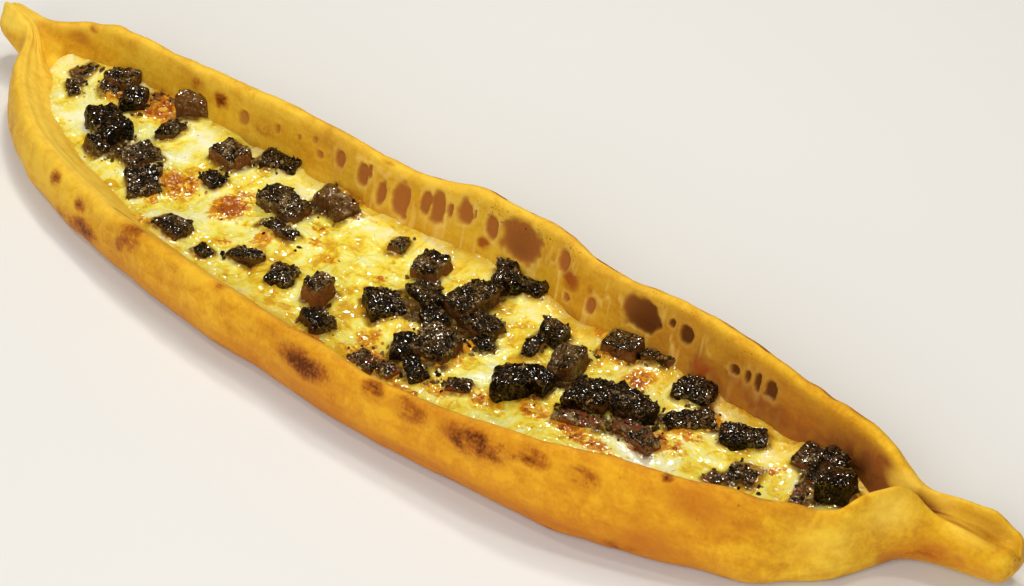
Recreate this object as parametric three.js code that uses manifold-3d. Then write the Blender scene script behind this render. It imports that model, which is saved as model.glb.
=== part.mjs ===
// Roast meat and cheese pide: a long boat-shaped flatbread with a raised rim, pinched at both ends,
// with melted cheese in its trough and roast meat pieces lying on the cheese.
// Millimetres. +X runs along the length, +Y points to the higher side wall, +Z is up.
// The bread stands on its flat underside at z = 0.
import * as THREE from "three";
import { mergeVertices } from "three/addons/utils/BufferGeometryUtils.js";
import Module from "manifold-3d";

const wasm = await Module();
wasm.setup();

const clearance = 0.3; // left between touching pieces

const bread = {
  startX: -217.5,
  endX: 214.3,
  centreShift: 1.6, // brings the middle of the length to x = 0
  stations: 66,
  ringPoints: 32,
  endCrowding: 0.42, // stations stand closer together near both ends
  sectionPoints: 22, // control points of one cross-section, the first under the middle
};

// Side wall of the bread. Insets are measured from its plan edge towards the middle
const wall = {
  underInset: 14,
  footInset: 9, // the flat underside starts here
  cornerInset: 1,
  bellyBulge: 2, // the side swells out past the edge
  rimWidth: 5.5,
  crestExtra: 1.2, // the spline runs this much below its crest points
  troughCorner: 3, // from the inner wall's foot to the flat floor
  floorDip: 0.2,
  farLean: 3,
};

// Heights as shares of the wall's height above the underside
const heightShare = { corner: 0.05, belly: 0.38, shoulder: 0.82, slope: 0.8, innerFoot: 0.35 };

// Insets as shares of the lean, of the rim's width or of the way from the rim to the wall's foot
const insetShare = {
  shoulder: 0.4, outerCrest: 0.15, innerCrest: 0.85, slope: 0.35, farLean: 0.25, rim: 0.5,
};

// Largest insets as shares of half the width, so that opposite points never cross at the ends
const limitShare = {
  under: 0.75, foot: 0.5, innerCrest: 0.6, slope: 0.76, innerFoot: 0.9, troughCorner: 0.96,
};

const cheese = {
  startX: -190,
  endX: 176,
  stations: 54,
  acrossPoints: 12,
  sideInset: 4, // the slab is cut from a blank that reaches into the walls
  blankBottom: 1,
  wallRise: 1.6, // the cheese creeps up where it meets a wall
  wallReach: 4,
};

// Gentle unevenness of the cheese: two waves, their turns in radians for each millimetre
const wave = {
  height: 0.55, broadX: 0.11, broadStart: 1.3, broadY: 0.16, fineShare: 0.6, fineX: 0.23, fineY: 0.19,
};

const lump = {
  bottom: 7,
  plump: 0.5, // added to each half of its length and width, because its corners are rounded off
  squareness: 10, // 2 is a ball, large values are a sharp box
  unevenness: 0.14,
  tiltDegrees: 5,
  slender: 1.4, // longer ones have more corners along their length
  seed: 41,
  seedStep: 10, // between one piece and the next
};

const bubble = { depth: 2.2, widthSegments: 8, heightSegments: 5 };

const colours = { bread: 0xe2a52e, cheese: 0xf0dc84, meat: 0x2e2014 };

// Profiles along the length: pairs of distance x and value
const profiles = {
  // plan outline of the side towards -Y
  nearEdge: [
    [-217.5, 30.5], [-214, 27], [-206, 24.2], [-199, 22.3], [-194, 17], [-190, 10.5], [-178, -2.3],
    [-162, -13.5], [-142, -23.2], [-98, -35.2], [-62, -41], [-36, -43.8], [-2, -45.6], [31, -47.7],
    [54, -47], [86, -45.3], [104, -43], [116, -39.6], [137, -32.6], [144, -29.2], [158, -24.2],
    [166, -17], [175, -7.6], [179, 0.8], [184, 10], [192, 15], [207, 18.6], [211, 19.6],
    [213.6, 22], [214.3, 24.5],
  ],
  // plan outline of the side towards +Y
  farEdge: [
    [-217.5, 34.5], [-214, 36.5], [-199, 36.5], [-190, 39], [-178, 43.5], [-142, 46], [-98, 45],
    [-36, 45], [6, 47.5], [31, 47], [54, 43.5], [86, 43], [116, 40], [158, 36.5], [184, 30.5],
    [192, 31.5], [207, 33.2], [211, 32.6], [213.6, 30.5], [214.3, 28],
  ],
  // the pinched ends lift off the table
  underside: [
    [-217.5, 11.5], [-214, 10], [-207, 8], [-199, 6], [-190, 1.5], [-182, 0], [168, 0],
    [177, 0.5], [184, 2], [209, 3.5], [212, 4.3], [213.6, 6], [214.3, 8],
  ],
  nearCrest: [
    [-217.5, 17.5], [-214, 21.3], [-207, 22], [-199, 20], [-190, 17.5], [-142, 17.5], [-98, 18.5],
    [-36, 21], [31, 22], [54, 23.5], [86, 26], [116, 27.5], [144, 26.3], [154, 25.4], [162, 25.2],
    [168, 23.4], [172, 23.7], [177, 27.2], [181, 27.5], [185, 24.6], [188, 21], [192, 18],
    [200, 16.3], [209, 14.6], [212, 14], [213.6, 12.5], [214.3, 11],
  ],
  farCrest: [
    [-217.5, 15.5], [-214, 18.5], [-199, 19], [-178, 22.5], [-165, 25.8], [-142, 25.2], [-120, 26],
    [-98, 27.4], [-64, 29.1], [-30, 27.1], [-11, 28.6], [1, 31.1], [39, 31.7], [54, 29.4],
    [66, 29.2], [90, 30.8], [113, 30.9], [126, 29.9], [137, 28], [148, 27], [159, 26.2],
    [168, 25.2], [173, 23.6], [179, 20.8], [186, 19.4], [202, 19.3], [209, 16.5], [212, 15.5],
    [213.6, 13.5], [214.3, 11],
  ],
  nearWall: [
    [-217.5, 2.5], [-214, 5], [-199, 9], [-190, 19], [-178, 21], [-162, 20.5], [-142, 19.5],
    [-122, 18.8], [-98, 17], [-62, 15.3], [-24, 15], [31, 12], [86, 12], [116, 15], [158, 17],
    [168, 19], [177, 17], [184, 13], [192, 10], [209, 8], [214.3, 5],
  ],
  farWall: [
    [-217.5, 2.5], [-214, 5], [-199, 7], [-190, 10], [-178, 11], [6, 12], [177, 12], [192, 10],
    [209, 8], [214.3, 5],
  ],
  // bottom of the trough, which runs out into the solid ends
  floor: [
    [-217.5, 16.5], [-214, 20.5], [-207, 21], [-199, 19], [-192, 15], [-178, 8], [-162, 5.5],
    [-142, 5], [144, 5], [158, 7], [168, 11], [177, 15.5], [184, 16], [192, 16.2], [200, 15.2],
    [206, 14], [209, 14.6], [212, 14.8], [213.6, 13], [214.3, 11],
  ],
  // how far the near crest leans over the filling
  nearLean: [
    [-217.5, 0.5], [-207, 2], [-178, 3], [-62, 1.5], [54, 2], [86, 3.5], [116, 7], [158, 7],
    [168, 5], [192, 2], [214.3, 0.5],
  ],
  cheeseLevel: [
    [-190, 9.5], [-181, 12], [-165, 12], [-140, 11.2], [0, 10.6], [110, 11], [150, 12.3], [165, 13],
    [176, 11.5],
  ],
};

// Air bubbles torn open in the far wall: x, height of the centre, width, height
const bubbles = [
  [-100, 19, 5, 5.5], [-55, 22, 3.5, 6], [-45, 20, 5.5, 8], [-36, 18, 4.5, 8], [-28, 19, 7.5, 12],
  [-18, 21, 4, 8.5], [-12.5, 20.5, 5.5, 11], [-2, 23, 6.5, 8.5], [9, 22, 6, 8], [22, 22, 17, 14],
  [40, 23, 5, 7.5], [73, 23, 15, 10.5], [91, 23, 6, 6],
];

// Roast meat, one line for each piece: its lumps as x, y, length, width, top, turn in degrees
const meatPieces = [
  [[-171, 27, 9, 5, 13.5, 85]],
  [[-166, 17, 10, 4, 13.5, -35]],
  [[-155, 30, 10, 8, 17, 10], [-155, 24, 9, 7, 14, -40]],
  [[-142.5, 24.5, 12, 8, 17, -60]],
  [[-136.5, 7.2, 17, 10.5, 17, -20]],
  [[-132, -2, 10, 7, 14, -20]],
  [[-117, 3, 12, 12, 14.5, 75]],
  [[-104, -6.8, 13, 11, 14.5, -40]],
  [[-135, 31, 8, 7, 13, 0]],
  [[-124, 33.5, 11, 9, 18, 40]],
  [[-120, 20, 9, 6, 14.5, -85]],
  [[-93, 21, 14, 8, 17, -10]],
  [[-88, 9, 8, 6, 14, -10]],
  [[-79.5, 31, 14, 9, 14.5, 10]],
  [[-63, 15, 11, 10, 15.5, 0], [-55, 14, 10, 7, 15, -85]],
  [[-52, 3, 16, 5, 13.5, 0]],
  [[-47, 25, 18, 8, 15, -15]],
  [[-79, -19, 12, 9, 15, -5]],
  [[-62, -21, 6, 5, 13.5, -5]],
  [[-50, -14, 10, 6, 13.5, 5]],
  [[-33, -14, 10, 8, 14.5, -65]],
  [[-17, -13.7, 8.5, 7, 18, -80]],
  [[-8, -24, 10, 7, 15, -20]],
  [[-17, 22, 8, 5, 14, -70]],
  [[-1, 20, 11, 8, 15.5, -75]],
  [[2, -4, 13, 13, 15, 55]],
  [[8.5, 8, 13, 9, 15, -20], [18, 1, 9, 7, 13.8, -20]],
  [[21, 14, 16, 11, 16, 85]],
  [[22, 30, 13, 8, 16.5, -55], [29, 32, 12, 7, 15, 15]],
  [[31, 8, 12, 8, 14.5, -5]],
  [[37, 2, 7, 5, 13, -15]],
  [[29, -10, 13, 13, 16.5, -80]],
  [[22, -17, 11, 7, 15.5, -55], [29.5, -21.5, 12, 6, 14, -30]],
  [[17, -28, 11, 8, 13.5, -10], [24, -27.5, 9, 6, 13.5, -10]],
  [[46, -19, 7, 6, 13, 25]],
  [[51, 18.5, 8, 9, 16.5, -80], [50, 10.5, 10, 4.5, 14, -70]],
  [[64, 10, 14, 8, 16.5, -75]],
  [[58, -7, 12, 11, 17, -65], [65, -3, 8, 6, 16, -85]],
  [[71, 27, 12, 9, 17, 5]],
  [[83, 30.5, 13, 6, 15, 25]],
  [[79.5, 1, 12, 12, 16.5, 20], [92, 6, 15, 9, 16, -5]],
  [[84, -8, 15, 6, 14, 20]],
  [[102, -3, 15, 7, 14, -10]],
  [[102, 24, 12, 9, 15, 15]],
  [[109, 13, 15, 7, 14, 45]],
  [[126, 17, 14, 7, 15, 25]],
  [[130.5, -3, 6, 5.5, 13.5, -5]],
  [[135.5, 4, 9, 8, 13.5, 10]],
  [[147, 21, 9, 8, 16, -85], [153.5, 24, 8, 7, 17, -10]],
  [[162, 13, 8, 7.5, 19.5, -80]],
  [[155, 6, 7, 6, 14, -80]],
  [[152, 16, 8, 6, 15, -60]],
];

// Smooth curve through pairs of x and value that never overshoots them
function curveThrough(pairs) {
  const last = pairs.length - 1;
  const spans = pairs.slice(1).map(([x], i) => x - pairs[i][0]);
  const rises = pairs.slice(1).map(([, value], i) => (value - pairs[i][1]) / spans[i]);
  const slopes = pairs.map((pair, i) => {
    if (i === 0 || i === last) return rises[i === 0 ? 0 : last - 1];
    const before = rises[i - 1];
    const after = rises[i];
    if (before * after <= 0) return 0;
    const weightBefore = 2 * spans[i] + spans[i - 1];
    const weightAfter = spans[i] + 2 * spans[i - 1];
    return (weightBefore + weightAfter) / (weightBefore / before + weightAfter / after);
  });
  return (x) => {
    const at = THREE.MathUtils.clamp(x, pairs[0][0], pairs[last][0]);
    let i = 0;
    while (i < last - 1 && at >= pairs[i + 1][0]) i += 1;
    const t = (at - pairs[i][0]) / spans[i];
    const u = 1 - t;
    const start = pairs[i][1] * (1 + 2 * t) + spans[i] * slopes[i] * t;
    const end = pairs[i + 1][1] * (1 + 2 * u) - spans[i] * slopes[i + 1] * u;
    return start * u * u + end * t * t;
  };
}

const along = Object.fromEntries(
  Object.entries(profiles).map(([name, pairs]) => [name, curveThrough(pairs)]),
);

// Control points of one side wall, from the underside up over the crest and down into the trough
function wallPoints({ edge, crest, thickness, lean, outwards }, { base, floor, half, grow }) {
  const rim = Math.min(wall.rimWidth, thickness * insetShare.rim);
  const height = crest - base;
  const top = crest + wall.crestExtra;
  const slope = lean + rim + Math.max(0, thickness - lean - rim) * insetShare.slope;
  const innerFoot = thickness + grow;
  const rows = [
    [Math.min(wall.underInset, limitShare.under * half), base],
    [Math.min(wall.footInset, limitShare.foot * half, thickness), base],
    [wall.cornerInset, base + height * heightShare.corner],
    [-wall.bellyBulge, base + height * heightShare.belly],
    [lean * insetShare.shoulder, base + height * heightShare.shoulder],
    [lean + rim * insetShare.outerCrest, top],
    [Math.min(lean + rim * insetShare.innerCrest, limitShare.innerCrest * half), top],
    [
      Math.min(slope + grow, limitShare.slope * half),
      Math.max(base + height * heightShare.slope, floor),
    ],
    [Math.min(innerFoot, limitShare.innerFoot * half), floor + (crest - floor) * heightShare.innerFoot],
    [Math.min(innerFoot + wall.troughCorner, limitShare.troughCorner * half), floor - wall.floorDip],
  ];
  return rows.map(([inset, z]) => [edge - outwards * inset, z]);
}

// One cross-section as a closed ring; grow makes the walls and the floor of the trough thicker
function breadRing(x, count, grow) {
  const nearWall = {
    edge: along.nearEdge(x),
    crest: along.nearCrest(x),
    thickness: along.nearWall(x),
    lean: along.nearLean(x),
    outwards: -1,
  };
  const farWall = {
    edge: along.farEdge(x),
    crest: along.farCrest(x),
    thickness: along.farWall(x),
    lean: Math.min(wall.farLean, along.farWall(x) * insetShare.farLean),
    outwards: 1,
  };
  const shared = {
    base: along.underside(x),
    floor: along.floor(x) + grow,
    half: (farWall.edge - nearWall.edge) / 2,
    grow,
  };
  const nearSide = wallPoints(nearWall, shared);
  const farSide = wallPoints(farWall, shared);
  const underMiddle = [(nearWall.edge + farWall.edge) / 2, shared.base];
  const troughMiddle = [(nearSide.at(-1)[0] + farSide.at(-1)[0]) / 2, shared.floor];
  const control = [underMiddle, ...nearSide, troughMiddle, ...farSide.reverse()];
  return splineRing(control, count).map(([y, z]) => [x, y, z]);
}

// Closed uniform cubic B-spline
function splineRing(control, count) {
  const size = control.length;
  return Array.from({ length: count }, (_, k) => {
    const at = (k * size) / count;
    const i = Math.floor(at);
    const t = at - i;
    const u = 1 - t;
    const weights = [
      u ** 3 / 6,
      (3 * t ** 3 - 6 * t ** 2 + 4) / 6,
      (3 * u ** 3 - 6 * u ** 2 + 4) / 6,
      t ** 3 / 6,
    ];
    return [0, 1].map((axis) =>
      weights.reduce((sum, w, n) => sum + w * control[(i - 1 + n + size) % size][axis], 0));
  });
}

// Closed solid through a row of rings with equal numbers of points
function loft(rings) {
  const count = rings[0].length;
  const positions = rings.flat(2);
  const index = [];
  for (let i = 0; i < rings.length - 1; i += 1) {
    for (let j = 0; j < count; j += 1) {
      const a = i * count + j;
      const b = i * count + ((j + 1) % count);
      index.push(a, a + count, b + count, a, b + count, b);
    }
  }
  const ends = [[rings[0], 0, 1], [rings.at(-1), (rings.length - 1) * count, -1]];
  for (const [ring, first, direction] of ends) {
    const middle = positions.length / 3;
    positions.push(...[0, 1, 2].map((axis) => ring.reduce((sum, p) => sum + p[axis], 0) / count));
    for (let j = 0; j < count; j += 1) {
      const pair = [first + j, first + ((j + 1) % count)];
      index.push(middle, ...(direction > 0 ? pair : pair.reverse()));
    }
  }
  const geometry = new THREE.BufferGeometry();
  geometry.setAttribute("position", new THREE.Float32BufferAttribute(positions, 3));
  geometry.setIndex(index);
  return geometry;
}

function toSolid(geometry) {
  const bare = geometry.clone();
  bare.deleteAttribute("normal");
  bare.deleteAttribute("uv");
  const merged = mergeVertices(bare);
  return new wasm.Manifold(new wasm.Mesh({
    numProp: 3,
    vertProperties: new Float32Array(merged.attributes.position.array),
    triVerts: new Uint32Array(merged.index.array),
  }));
}

function toGeometry(solid) {
  const { vertProperties, triVerts } = solid.getMesh();
  const geometry = new THREE.BufferGeometry();
  geometry.setAttribute("position", new THREE.Float32BufferAttribute(vertProperties, 3));
  geometry.setIndex(Array.from(triVerts));
  geometry.computeVertexNormals();
  return geometry;
}

// The largest body that is left after a cut
function largestBody(solid) {
  return solid.decompose().reduce((best, body) => (body.volume() > best.volume() ? body : best));
}

function breadBody(grow) {
  const rings = [];
  for (let i = 0; i < bread.stations; i += 1) {
    const t = i / (bread.stations - 1);
    const eased = t - (bread.endCrowding * Math.sin(2 * Math.PI * t)) / (2 * Math.PI);
    const x = THREE.MathUtils.lerp(bread.startX, bread.endX, eased);
    rings.push(breadRing(x, bread.ringPoints, grow));
  }
  return toSolid(loft(rings));
}

// Inner face of the far wall at a height, found on a fine section from the trough to the crest
function farWallFace(x, height) {
  const perPoint = 12;
  const pointsToCrest = 6; // control points from the middle of the trough up to the crest
  const fromTrough = perPoint * (bread.sectionPoints / 2);
  const toCrest = fromTrough + perPoint * pointsToCrest;
  const ring = breadRing(x, perPoint * bread.sectionPoints, 0).slice(fromTrough, toCrest);
  const above = ring.findIndex(([, , z]) => z >= height);
  return ring[Math.max(above, 0)][1];
}

function bubbleHollow([x, height, wide, tall]) {
  const ball = new THREE.SphereGeometry(1, bubble.widthSegments, bubble.heightSegments);
  ball.scale(wide / 2, bubble.depth, tall / 2);
  ball.translate(x, farWallFace(x, height), height);
  return toSolid(ball);
}

function makeBread() {
  return bubbles.reduce((body, row) => body.subtract(bubbleHollow(row)), breadBody(0));
}

function cheeseHeight(x, y) {
  const broad = Math.sin(x * wave.broadX + wave.broadStart) * Math.cos(y * wave.broadY);
  const fine = wave.fineShare * Math.sin(x * wave.fineX + y * wave.fineY);
  const toNear = y - (along.nearEdge(x) + along.nearWall(x));
  const toFar = along.farEdge(x) - along.farWall(x) - y;
  const toWall = Math.max(0, Math.min(toNear, toFar));
  return along.cheeseLevel(x) + wave.height * (broad + fine)
    + cheese.wallRise * Math.exp(-toWall / cheese.wallReach);
}

// The block that the cheese is cut from; raise lifts its top face
function cheeseBlank(raise) {
  const rings = [];
  for (let i = 0; i < cheese.stations; i += 1) {
    const x = THREE.MathUtils.lerp(cheese.startX, cheese.endX, i / (cheese.stations - 1));
    const near = along.nearEdge(x) + cheese.sideInset;
    const far = along.farEdge(x) - cheese.sideInset;
    const top = Array.from({ length: cheese.acrossPoints }, (_, j) => {
      const y = THREE.MathUtils.lerp(near, far, j / (cheese.acrossPoints - 1));
      return [x, y, cheeseHeight(x, y) + raise];
    });
    rings.push([[x, near, cheese.blankBottom], ...top, [x, far, cheese.blankBottom]]);
  }
  return toSolid(loft(rings));
}

function makeLump([x, y, long, wide, top, turn], seed, grow) {
  THREE.MathUtils.seededRandom(seed);
  const random = () => THREE.MathUtils.seededRandom() - 0.5;
  const tilt = THREE.MathUtils.degToRad(lump.tiltDegrees);
  const pose = new THREE.Euler(random() * 2 * tilt, random() * 2 * tilt, 0);
  const lengthSegments = long > lump.slender * wide ? 3 : 2;
  const box = new THREE.BoxGeometry(2, 2, 2, lengthSegments, 2, 2);
  box.deleteAttribute("normal");
  box.deleteAttribute("uv");
  const shape = mergeVertices(box);
  const tall = top - lump.bottom;
  const side = lump.plump + grow;
  const size = new THREE.Vector3(long / 2 + side, wide / 2 + side, tall / 2 + grow);
  const place = shape.attributes.position;
  const point = new THREE.Vector3();
  for (let i = 0; i < place.count; i += 1) {
    point.fromBufferAttribute(place, i);
    const reach = point.toArray().reduce((sum, v) => sum + Math.abs(v) ** lump.squareness, 0);
    point.divideScalar(reach ** (1 / lump.squareness));
    point.multiplyScalar(1 + lump.unevenness * random());
    point.multiply(size).applyEuler(pose);
    place.setXYZ(i, point.x, point.y, point.z);
  }
  shape.rotateZ(THREE.MathUtils.degToRad(turn));
  shape.translate(x, y, lump.bottom + tall / 2);
  return toSolid(shape);
}

function makePiece(lumps, number, grow) {
  return lumps
    .map((row, i) => makeLump(row, lump.seed + lump.seedStep * number + i, grow))
    .reduce((body, next) => body.add(next));
}

// Pieces are cut clear of the cheese, the bread and the pieces made before them
function makeMeat(cheeseTop, grownBread) {
  const made = [];
  meatPieces.forEach((lumps, number) => {
    let body = makePiece(lumps, number, 0).subtract(cheeseTop).subtract(grownBread);
    for (const earlier of made) body = body.subtract(earlier.grown);
    made.push({ body: largestBody(body), grown: makePiece(lumps, number, clearance) });
  });
  return made.map(({ body }) => body);
}

function addMesh(group, name, solid, colour, roughness) {
  const material = new THREE.MeshStandardMaterial({ color: colour, roughness, metalness: 0 });
  const mesh = new THREE.Mesh(toGeometry(solid), material);
  mesh.name = name;
  group.add(mesh);
}

const pide = new THREE.Group();
const grownBread = breadBody(clearance);
addMesh(pide, "bread", makeBread(), colours.bread, 0.6);
addMesh(pide, "cheese", largestBody(cheeseBlank(0).subtract(grownBread)), colours.cheese, 0.35);
makeMeat(cheeseBlank(clearance), grownBread).forEach((body, i) => {
  addMesh(pide, `meat_${String(i + 1).padStart(2, "0")}`, body, colours.meat, 0.7);
});

pide.position.x = bread.centreShift;

export default pide;
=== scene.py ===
import math

import bpy
import numpy as np
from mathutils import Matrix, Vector


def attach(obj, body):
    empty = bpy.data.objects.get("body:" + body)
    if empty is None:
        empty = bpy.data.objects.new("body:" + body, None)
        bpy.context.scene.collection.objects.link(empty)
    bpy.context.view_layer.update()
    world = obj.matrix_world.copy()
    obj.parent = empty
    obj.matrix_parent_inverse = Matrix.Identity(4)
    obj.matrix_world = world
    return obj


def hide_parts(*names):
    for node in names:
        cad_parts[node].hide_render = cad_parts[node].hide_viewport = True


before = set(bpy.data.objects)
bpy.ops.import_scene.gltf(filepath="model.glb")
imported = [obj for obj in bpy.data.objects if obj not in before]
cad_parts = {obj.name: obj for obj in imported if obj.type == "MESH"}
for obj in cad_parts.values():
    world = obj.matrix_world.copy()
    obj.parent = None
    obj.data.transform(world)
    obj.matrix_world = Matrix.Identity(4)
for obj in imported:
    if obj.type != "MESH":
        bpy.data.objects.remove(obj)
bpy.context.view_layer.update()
print("pide: frame loaded")

# All shapes below are worked out in millimetres and written to the meshes in metres.
mm = 0.001


# Small tools

def smoothCurve(pairs):
    # a curve through (x, value) pairs that never overshoots them
    xs, ys = np.array(pairs, float).T
    gaps = np.diff(xs)
    rises = np.diff(ys) / gaps
    before, after = rises[:-1], rises[1:]
    steady = before * after > 0
    weightBefore = 2 * gaps[1:] + gaps[:-1]
    weightAfter = gaps[1:] + 2 * gaps[:-1]
    slopes = np.concatenate([rises[:1], np.zeros(len(before)), rises[-1:]])
    share = weightBefore / np.where(steady, before, 1) + weightAfter / np.where(steady, after, 1)
    slopes[1:-1] = np.where(steady, (weightBefore + weightAfter) / np.where(steady, share, 1), 0)

    def value(x):
        x = np.clip(x, xs[0], xs[-1])
        i = np.clip(np.searchsorted(xs, x, side="right") - 1, 0, len(xs) - 2)
        t = (x - xs[i]) / gaps[i]
        u = 1 - t
        start = ys[i] * (1 + 2 * t) + gaps[i] * slopes[i] * t
        end = ys[i + 1] * (1 + 2 * u) - gaps[i] * slopes[i + 1] * u
        return start * u * u + end * t * t

    return value


def latticeValue(cell, seed):
    # a fixed random value from 0 to 1 for each whole-number lattice point; the large numbers stir its bits
    h = cell[..., 0] * 73856093 ^ cell[..., 1] * 19349663 ^ cell[..., 2] * 83492791 ^ (seed * 97531 + 12345)
    h = ((h ^ (h >> 15)) * 2246822519) & 0xFFFFFFFF
    h = ((h ^ (h >> 13)) * 3266489917) & 0xFFFFFFFF
    return ((h ^ (h >> 16)) & 0xFFFFFF) / 0xFFFFFF


def noise(points, size, seed):
    # smooth noise from -1 to 1 with lumps about `size` mm across; size may differ on each axis
    p = np.asarray(points) / np.asarray(size, float) + seed * 3.17
    cell = np.floor(p).astype(np.int64)
    f = p - cell
    f = f * f * f * (f * (f * 6 - 15) + 10)
    total = 0
    for corner in np.ndindex(2, 2, 2):
        a, b, c = np.moveaxis(np.where(corner, f, 1 - f), -1, 0)
        total = total + a * b * c * latticeValue(cell + corner, seed)
    return total * 2 - 1


def layeredNoise(points, rows, start=0, number=0):
    # noises of several sizes on top of each other: rows of height, size and seed
    return sum((height * noise(points, size, seed + number) for height, size, seed in rows), start)


def vectorNoise(points, size, seed):
    # a separate noise for each axis
    return np.stack([noise(points, size, seed + k) for k in range(3)], -1)


def grainNoise(points, size, seed):
    # distance to the nearest of scattered points, 0 at a grain's middle, and a random value for each grain
    p = np.asarray(points) / np.asarray(size, float)
    cell = np.floor(p).astype(np.int64)
    nearest = np.full(p.shape[:-1], 9.0)
    value = np.zeros(p.shape[:-1])
    for step in np.ndindex(3, 3, 3):
        at = cell + step - 1
        spot = at + np.stack([latticeValue(at, seed + k) for k in range(3)], -1)
        away = ((p - spot) ** 2).sum(-1)
        value = np.where(away < nearest, latticeValue(at, seed + 7), value)
        nearest = np.minimum(nearest, away)
    return np.sqrt(nearest), value


def ease(low, high, value):
    # 0 at low, 1 at high and smooth between them; low may be the larger one
    t = np.clip((value - low) / (high - low), 0, 1)
    return t * t * (3 - 2 * t)


def within(rows, value):
    # how fully something shows: each row gives a value without it and a value with all of it
    share = 1
    for without, full in rows:
        share = share * ease(without, full, value)
    return share


def bell(value, middle, width):
    # 1 at the middle, falling away on both sides
    return np.exp(-((value - middle) / width) ** 2)


def spotField(points, spots):
    # strongest of soft round spots: rows of x, y, z, length along x, size across, strength
    field = np.zeros(points.shape[:-1])
    for x, y, z, long, across, strength in spots:
        away = ((points[..., 0] - x) / long) ** 2
        away = away + ((points[..., 1] - y) ** 2 + (points[..., 2] - z) ** 2) / across ** 2
        field = np.maximum(field, strength * np.exp(-away ** 1.3))
    return field


def gridNormals(grid):
    # outward normals of a closed grid of points, (station, around, 3)
    normal = np.cross(np.gradient(grid, axis=0), np.roll(grid, -1, 1) - np.roll(grid, 1, 1))
    return normal / (np.linalg.norm(normal, axis=-1, keepdims=True) + 1e-9)


def gridFaces(rows, columns, closed):
    # quads between neighbouring rows
    i, j = np.meshgrid(np.arange(rows - 1), np.arange(columns if closed else columns - 1), indexing="ij")
    a = i * columns + j
    b = i * columns + (j + 1) % columns
    return np.stack([a, a + columns, b + columns, b], -1).reshape(-1, 4)


def addToScene(name, data):
    made = bpy.data.objects.new(name, data)
    bpy.context.scene.collection.objects.link(made)
    return made


def addObject(name, mesh, material):
    mesh.materials.clear()
    mesh.materials.append(material)
    mesh.shade_smooth()
    return addToScene(name, mesh)


def placed(points):
    # from millimetres to metres around the middle of the whole bread
    return (np.asarray(points).reshape(-1, 3) + (dough["centreShift"], 0, 0)) * mm


def makeMesh(name, points, faces):
    mesh = bpy.data.meshes.new(name)
    mesh.from_pydata(placed(points).tolist(), [], faces)
    mesh.update()
    return mesh


def plainMesh(holder, name):
    # a helper object's modifiers become a plain mesh, and the object goes
    mesh = bpy.data.meshes.new_from_object(holder.evaluated_get(bpy.context.evaluated_depsgraph_get()))
    bpy.data.objects.remove(holder)
    mesh.name = name
    return mesh


def readNumbers(items, key, width=1, kind=float):
    # one number, or one row of numbers, from each item of a mesh
    values = np.empty(len(items) * width, kind)
    items.foreach_get(key, values)
    return values.reshape(-1, width) if width > 1 else values


def paintAll(mesh, paints, pad=np.asarray):
    # one number for each vertex, read by the material; pad adds the vertices that have no value
    for name, values in paints.items():
        layer = mesh.attributes.new(name, "FLOAT", "POINT")
        layer.data.foreach_set("value", np.asarray(pad(values), np.float32).ravel())


def finishPiece(piece, slotName, *nodes):
    if nodes:
        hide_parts(*nodes)
    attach(piece, "root")


# Material tools

def newMaterial(name):
    material = bpy.data.materials.new(name)
    material.use_nodes = True
    tree = material.node_tree
    return material, tree, tree.nodes["Principled BSDF"]


def feed(node, inputs):
    # each input takes a socket to link or a fixed value
    for name, value in inputs.items():
        if isinstance(value, bpy.types.NodeSocket):
            node.id_data.links.new(value, node.inputs[name])
        else:
            node.inputs[name].default_value = value


def addNode(tree, kind, inputs, **settings):
    made = tree.nodes.new(kind)
    for name, value in settings.items():
        setattr(made, name, value)
    feed(made, inputs)
    return made


def objectPlace(tree):
    return addNode(tree, "ShaderNodeTexCoord", {}).outputs["Object"]


def objectNoise(tree, size, detail=3, distortion=0, stretch=(1, 1, 1)):
    # noise on Object coordinates with lumps about `size` mm across
    turned = addNode(tree, "ShaderNodeMapping", {"Vector": objectPlace(tree), "Scale": stretch})
    inputs = {"Vector": turned.outputs["Vector"], "Scale": 1 / (size * mm), "Detail": detail,
              "Distortion": distortion}
    return addNode(tree, "ShaderNodeTexNoise", inputs).outputs["Fac"]


def objectCells(tree, size):
    # scattered cells on Object coordinates, about `size` mm across
    inputs = {"Vector": objectPlace(tree), "Scale": 1 / (size * mm)}
    return addNode(tree, "ShaderNodeTexVoronoi", inputs).outputs


def readPaint(tree, name):
    return addNode(tree, "ShaderNodeAttribute", {}, attribute_name=name).outputs["Fac"]


# The tools below work in the tree of the sockets that they are given.

def joinValues(operation, values, clamp):
    # Math nodes one after another
    tree = next(value.id_data for value in values if isinstance(value, bpy.types.NodeSocket))
    total = values[0]
    for value in values[1:]:
        made = addNode(tree, "ShaderNodeMath", {0: total, 1: value}, operation=operation)
        total = made.outputs[0]
    made.use_clamp = clamp
    return total


def plus(*values, clamp=False):
    return joinValues("ADD", values, clamp)


def times(*values, clamp=False):
    return joinValues("MULTIPLY", values, clamp)


def spread(value, low, high, newLow=0.0, newHigh=1.0):
    inputs = {"Value": value, "From Min": low, "From Max": high, "To Min": newLow, "To Max": newHigh}
    made = addNode(value.id_data, "ShaderNodeMapRange", inputs, interpolation_type="SMOOTHSTEP")
    return made.outputs["Result"]


def blendColour(factor, first, second):
    # the numbered sockets are the Mix node's factor and its two colours
    made = addNode(factor.id_data, "ShaderNodeMix", {}, data_type="RGBA")
    feed(made, {0: factor, 6: first, 7: second})
    return made.outputs[2]


def rampColour(factor, stops):
    made = addNode(factor.id_data, "ShaderNodeValToRGB", {"Fac": factor})
    ramp = made.color_ramp
    while len(ramp.elements) < len(stops):
        ramp.elements.new(0.5)
    for element, (position, colour) in zip(ramp.elements, stops):
        element.position = position
        element.color = (*colour, 1)
    return made.outputs["Color"]


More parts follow.
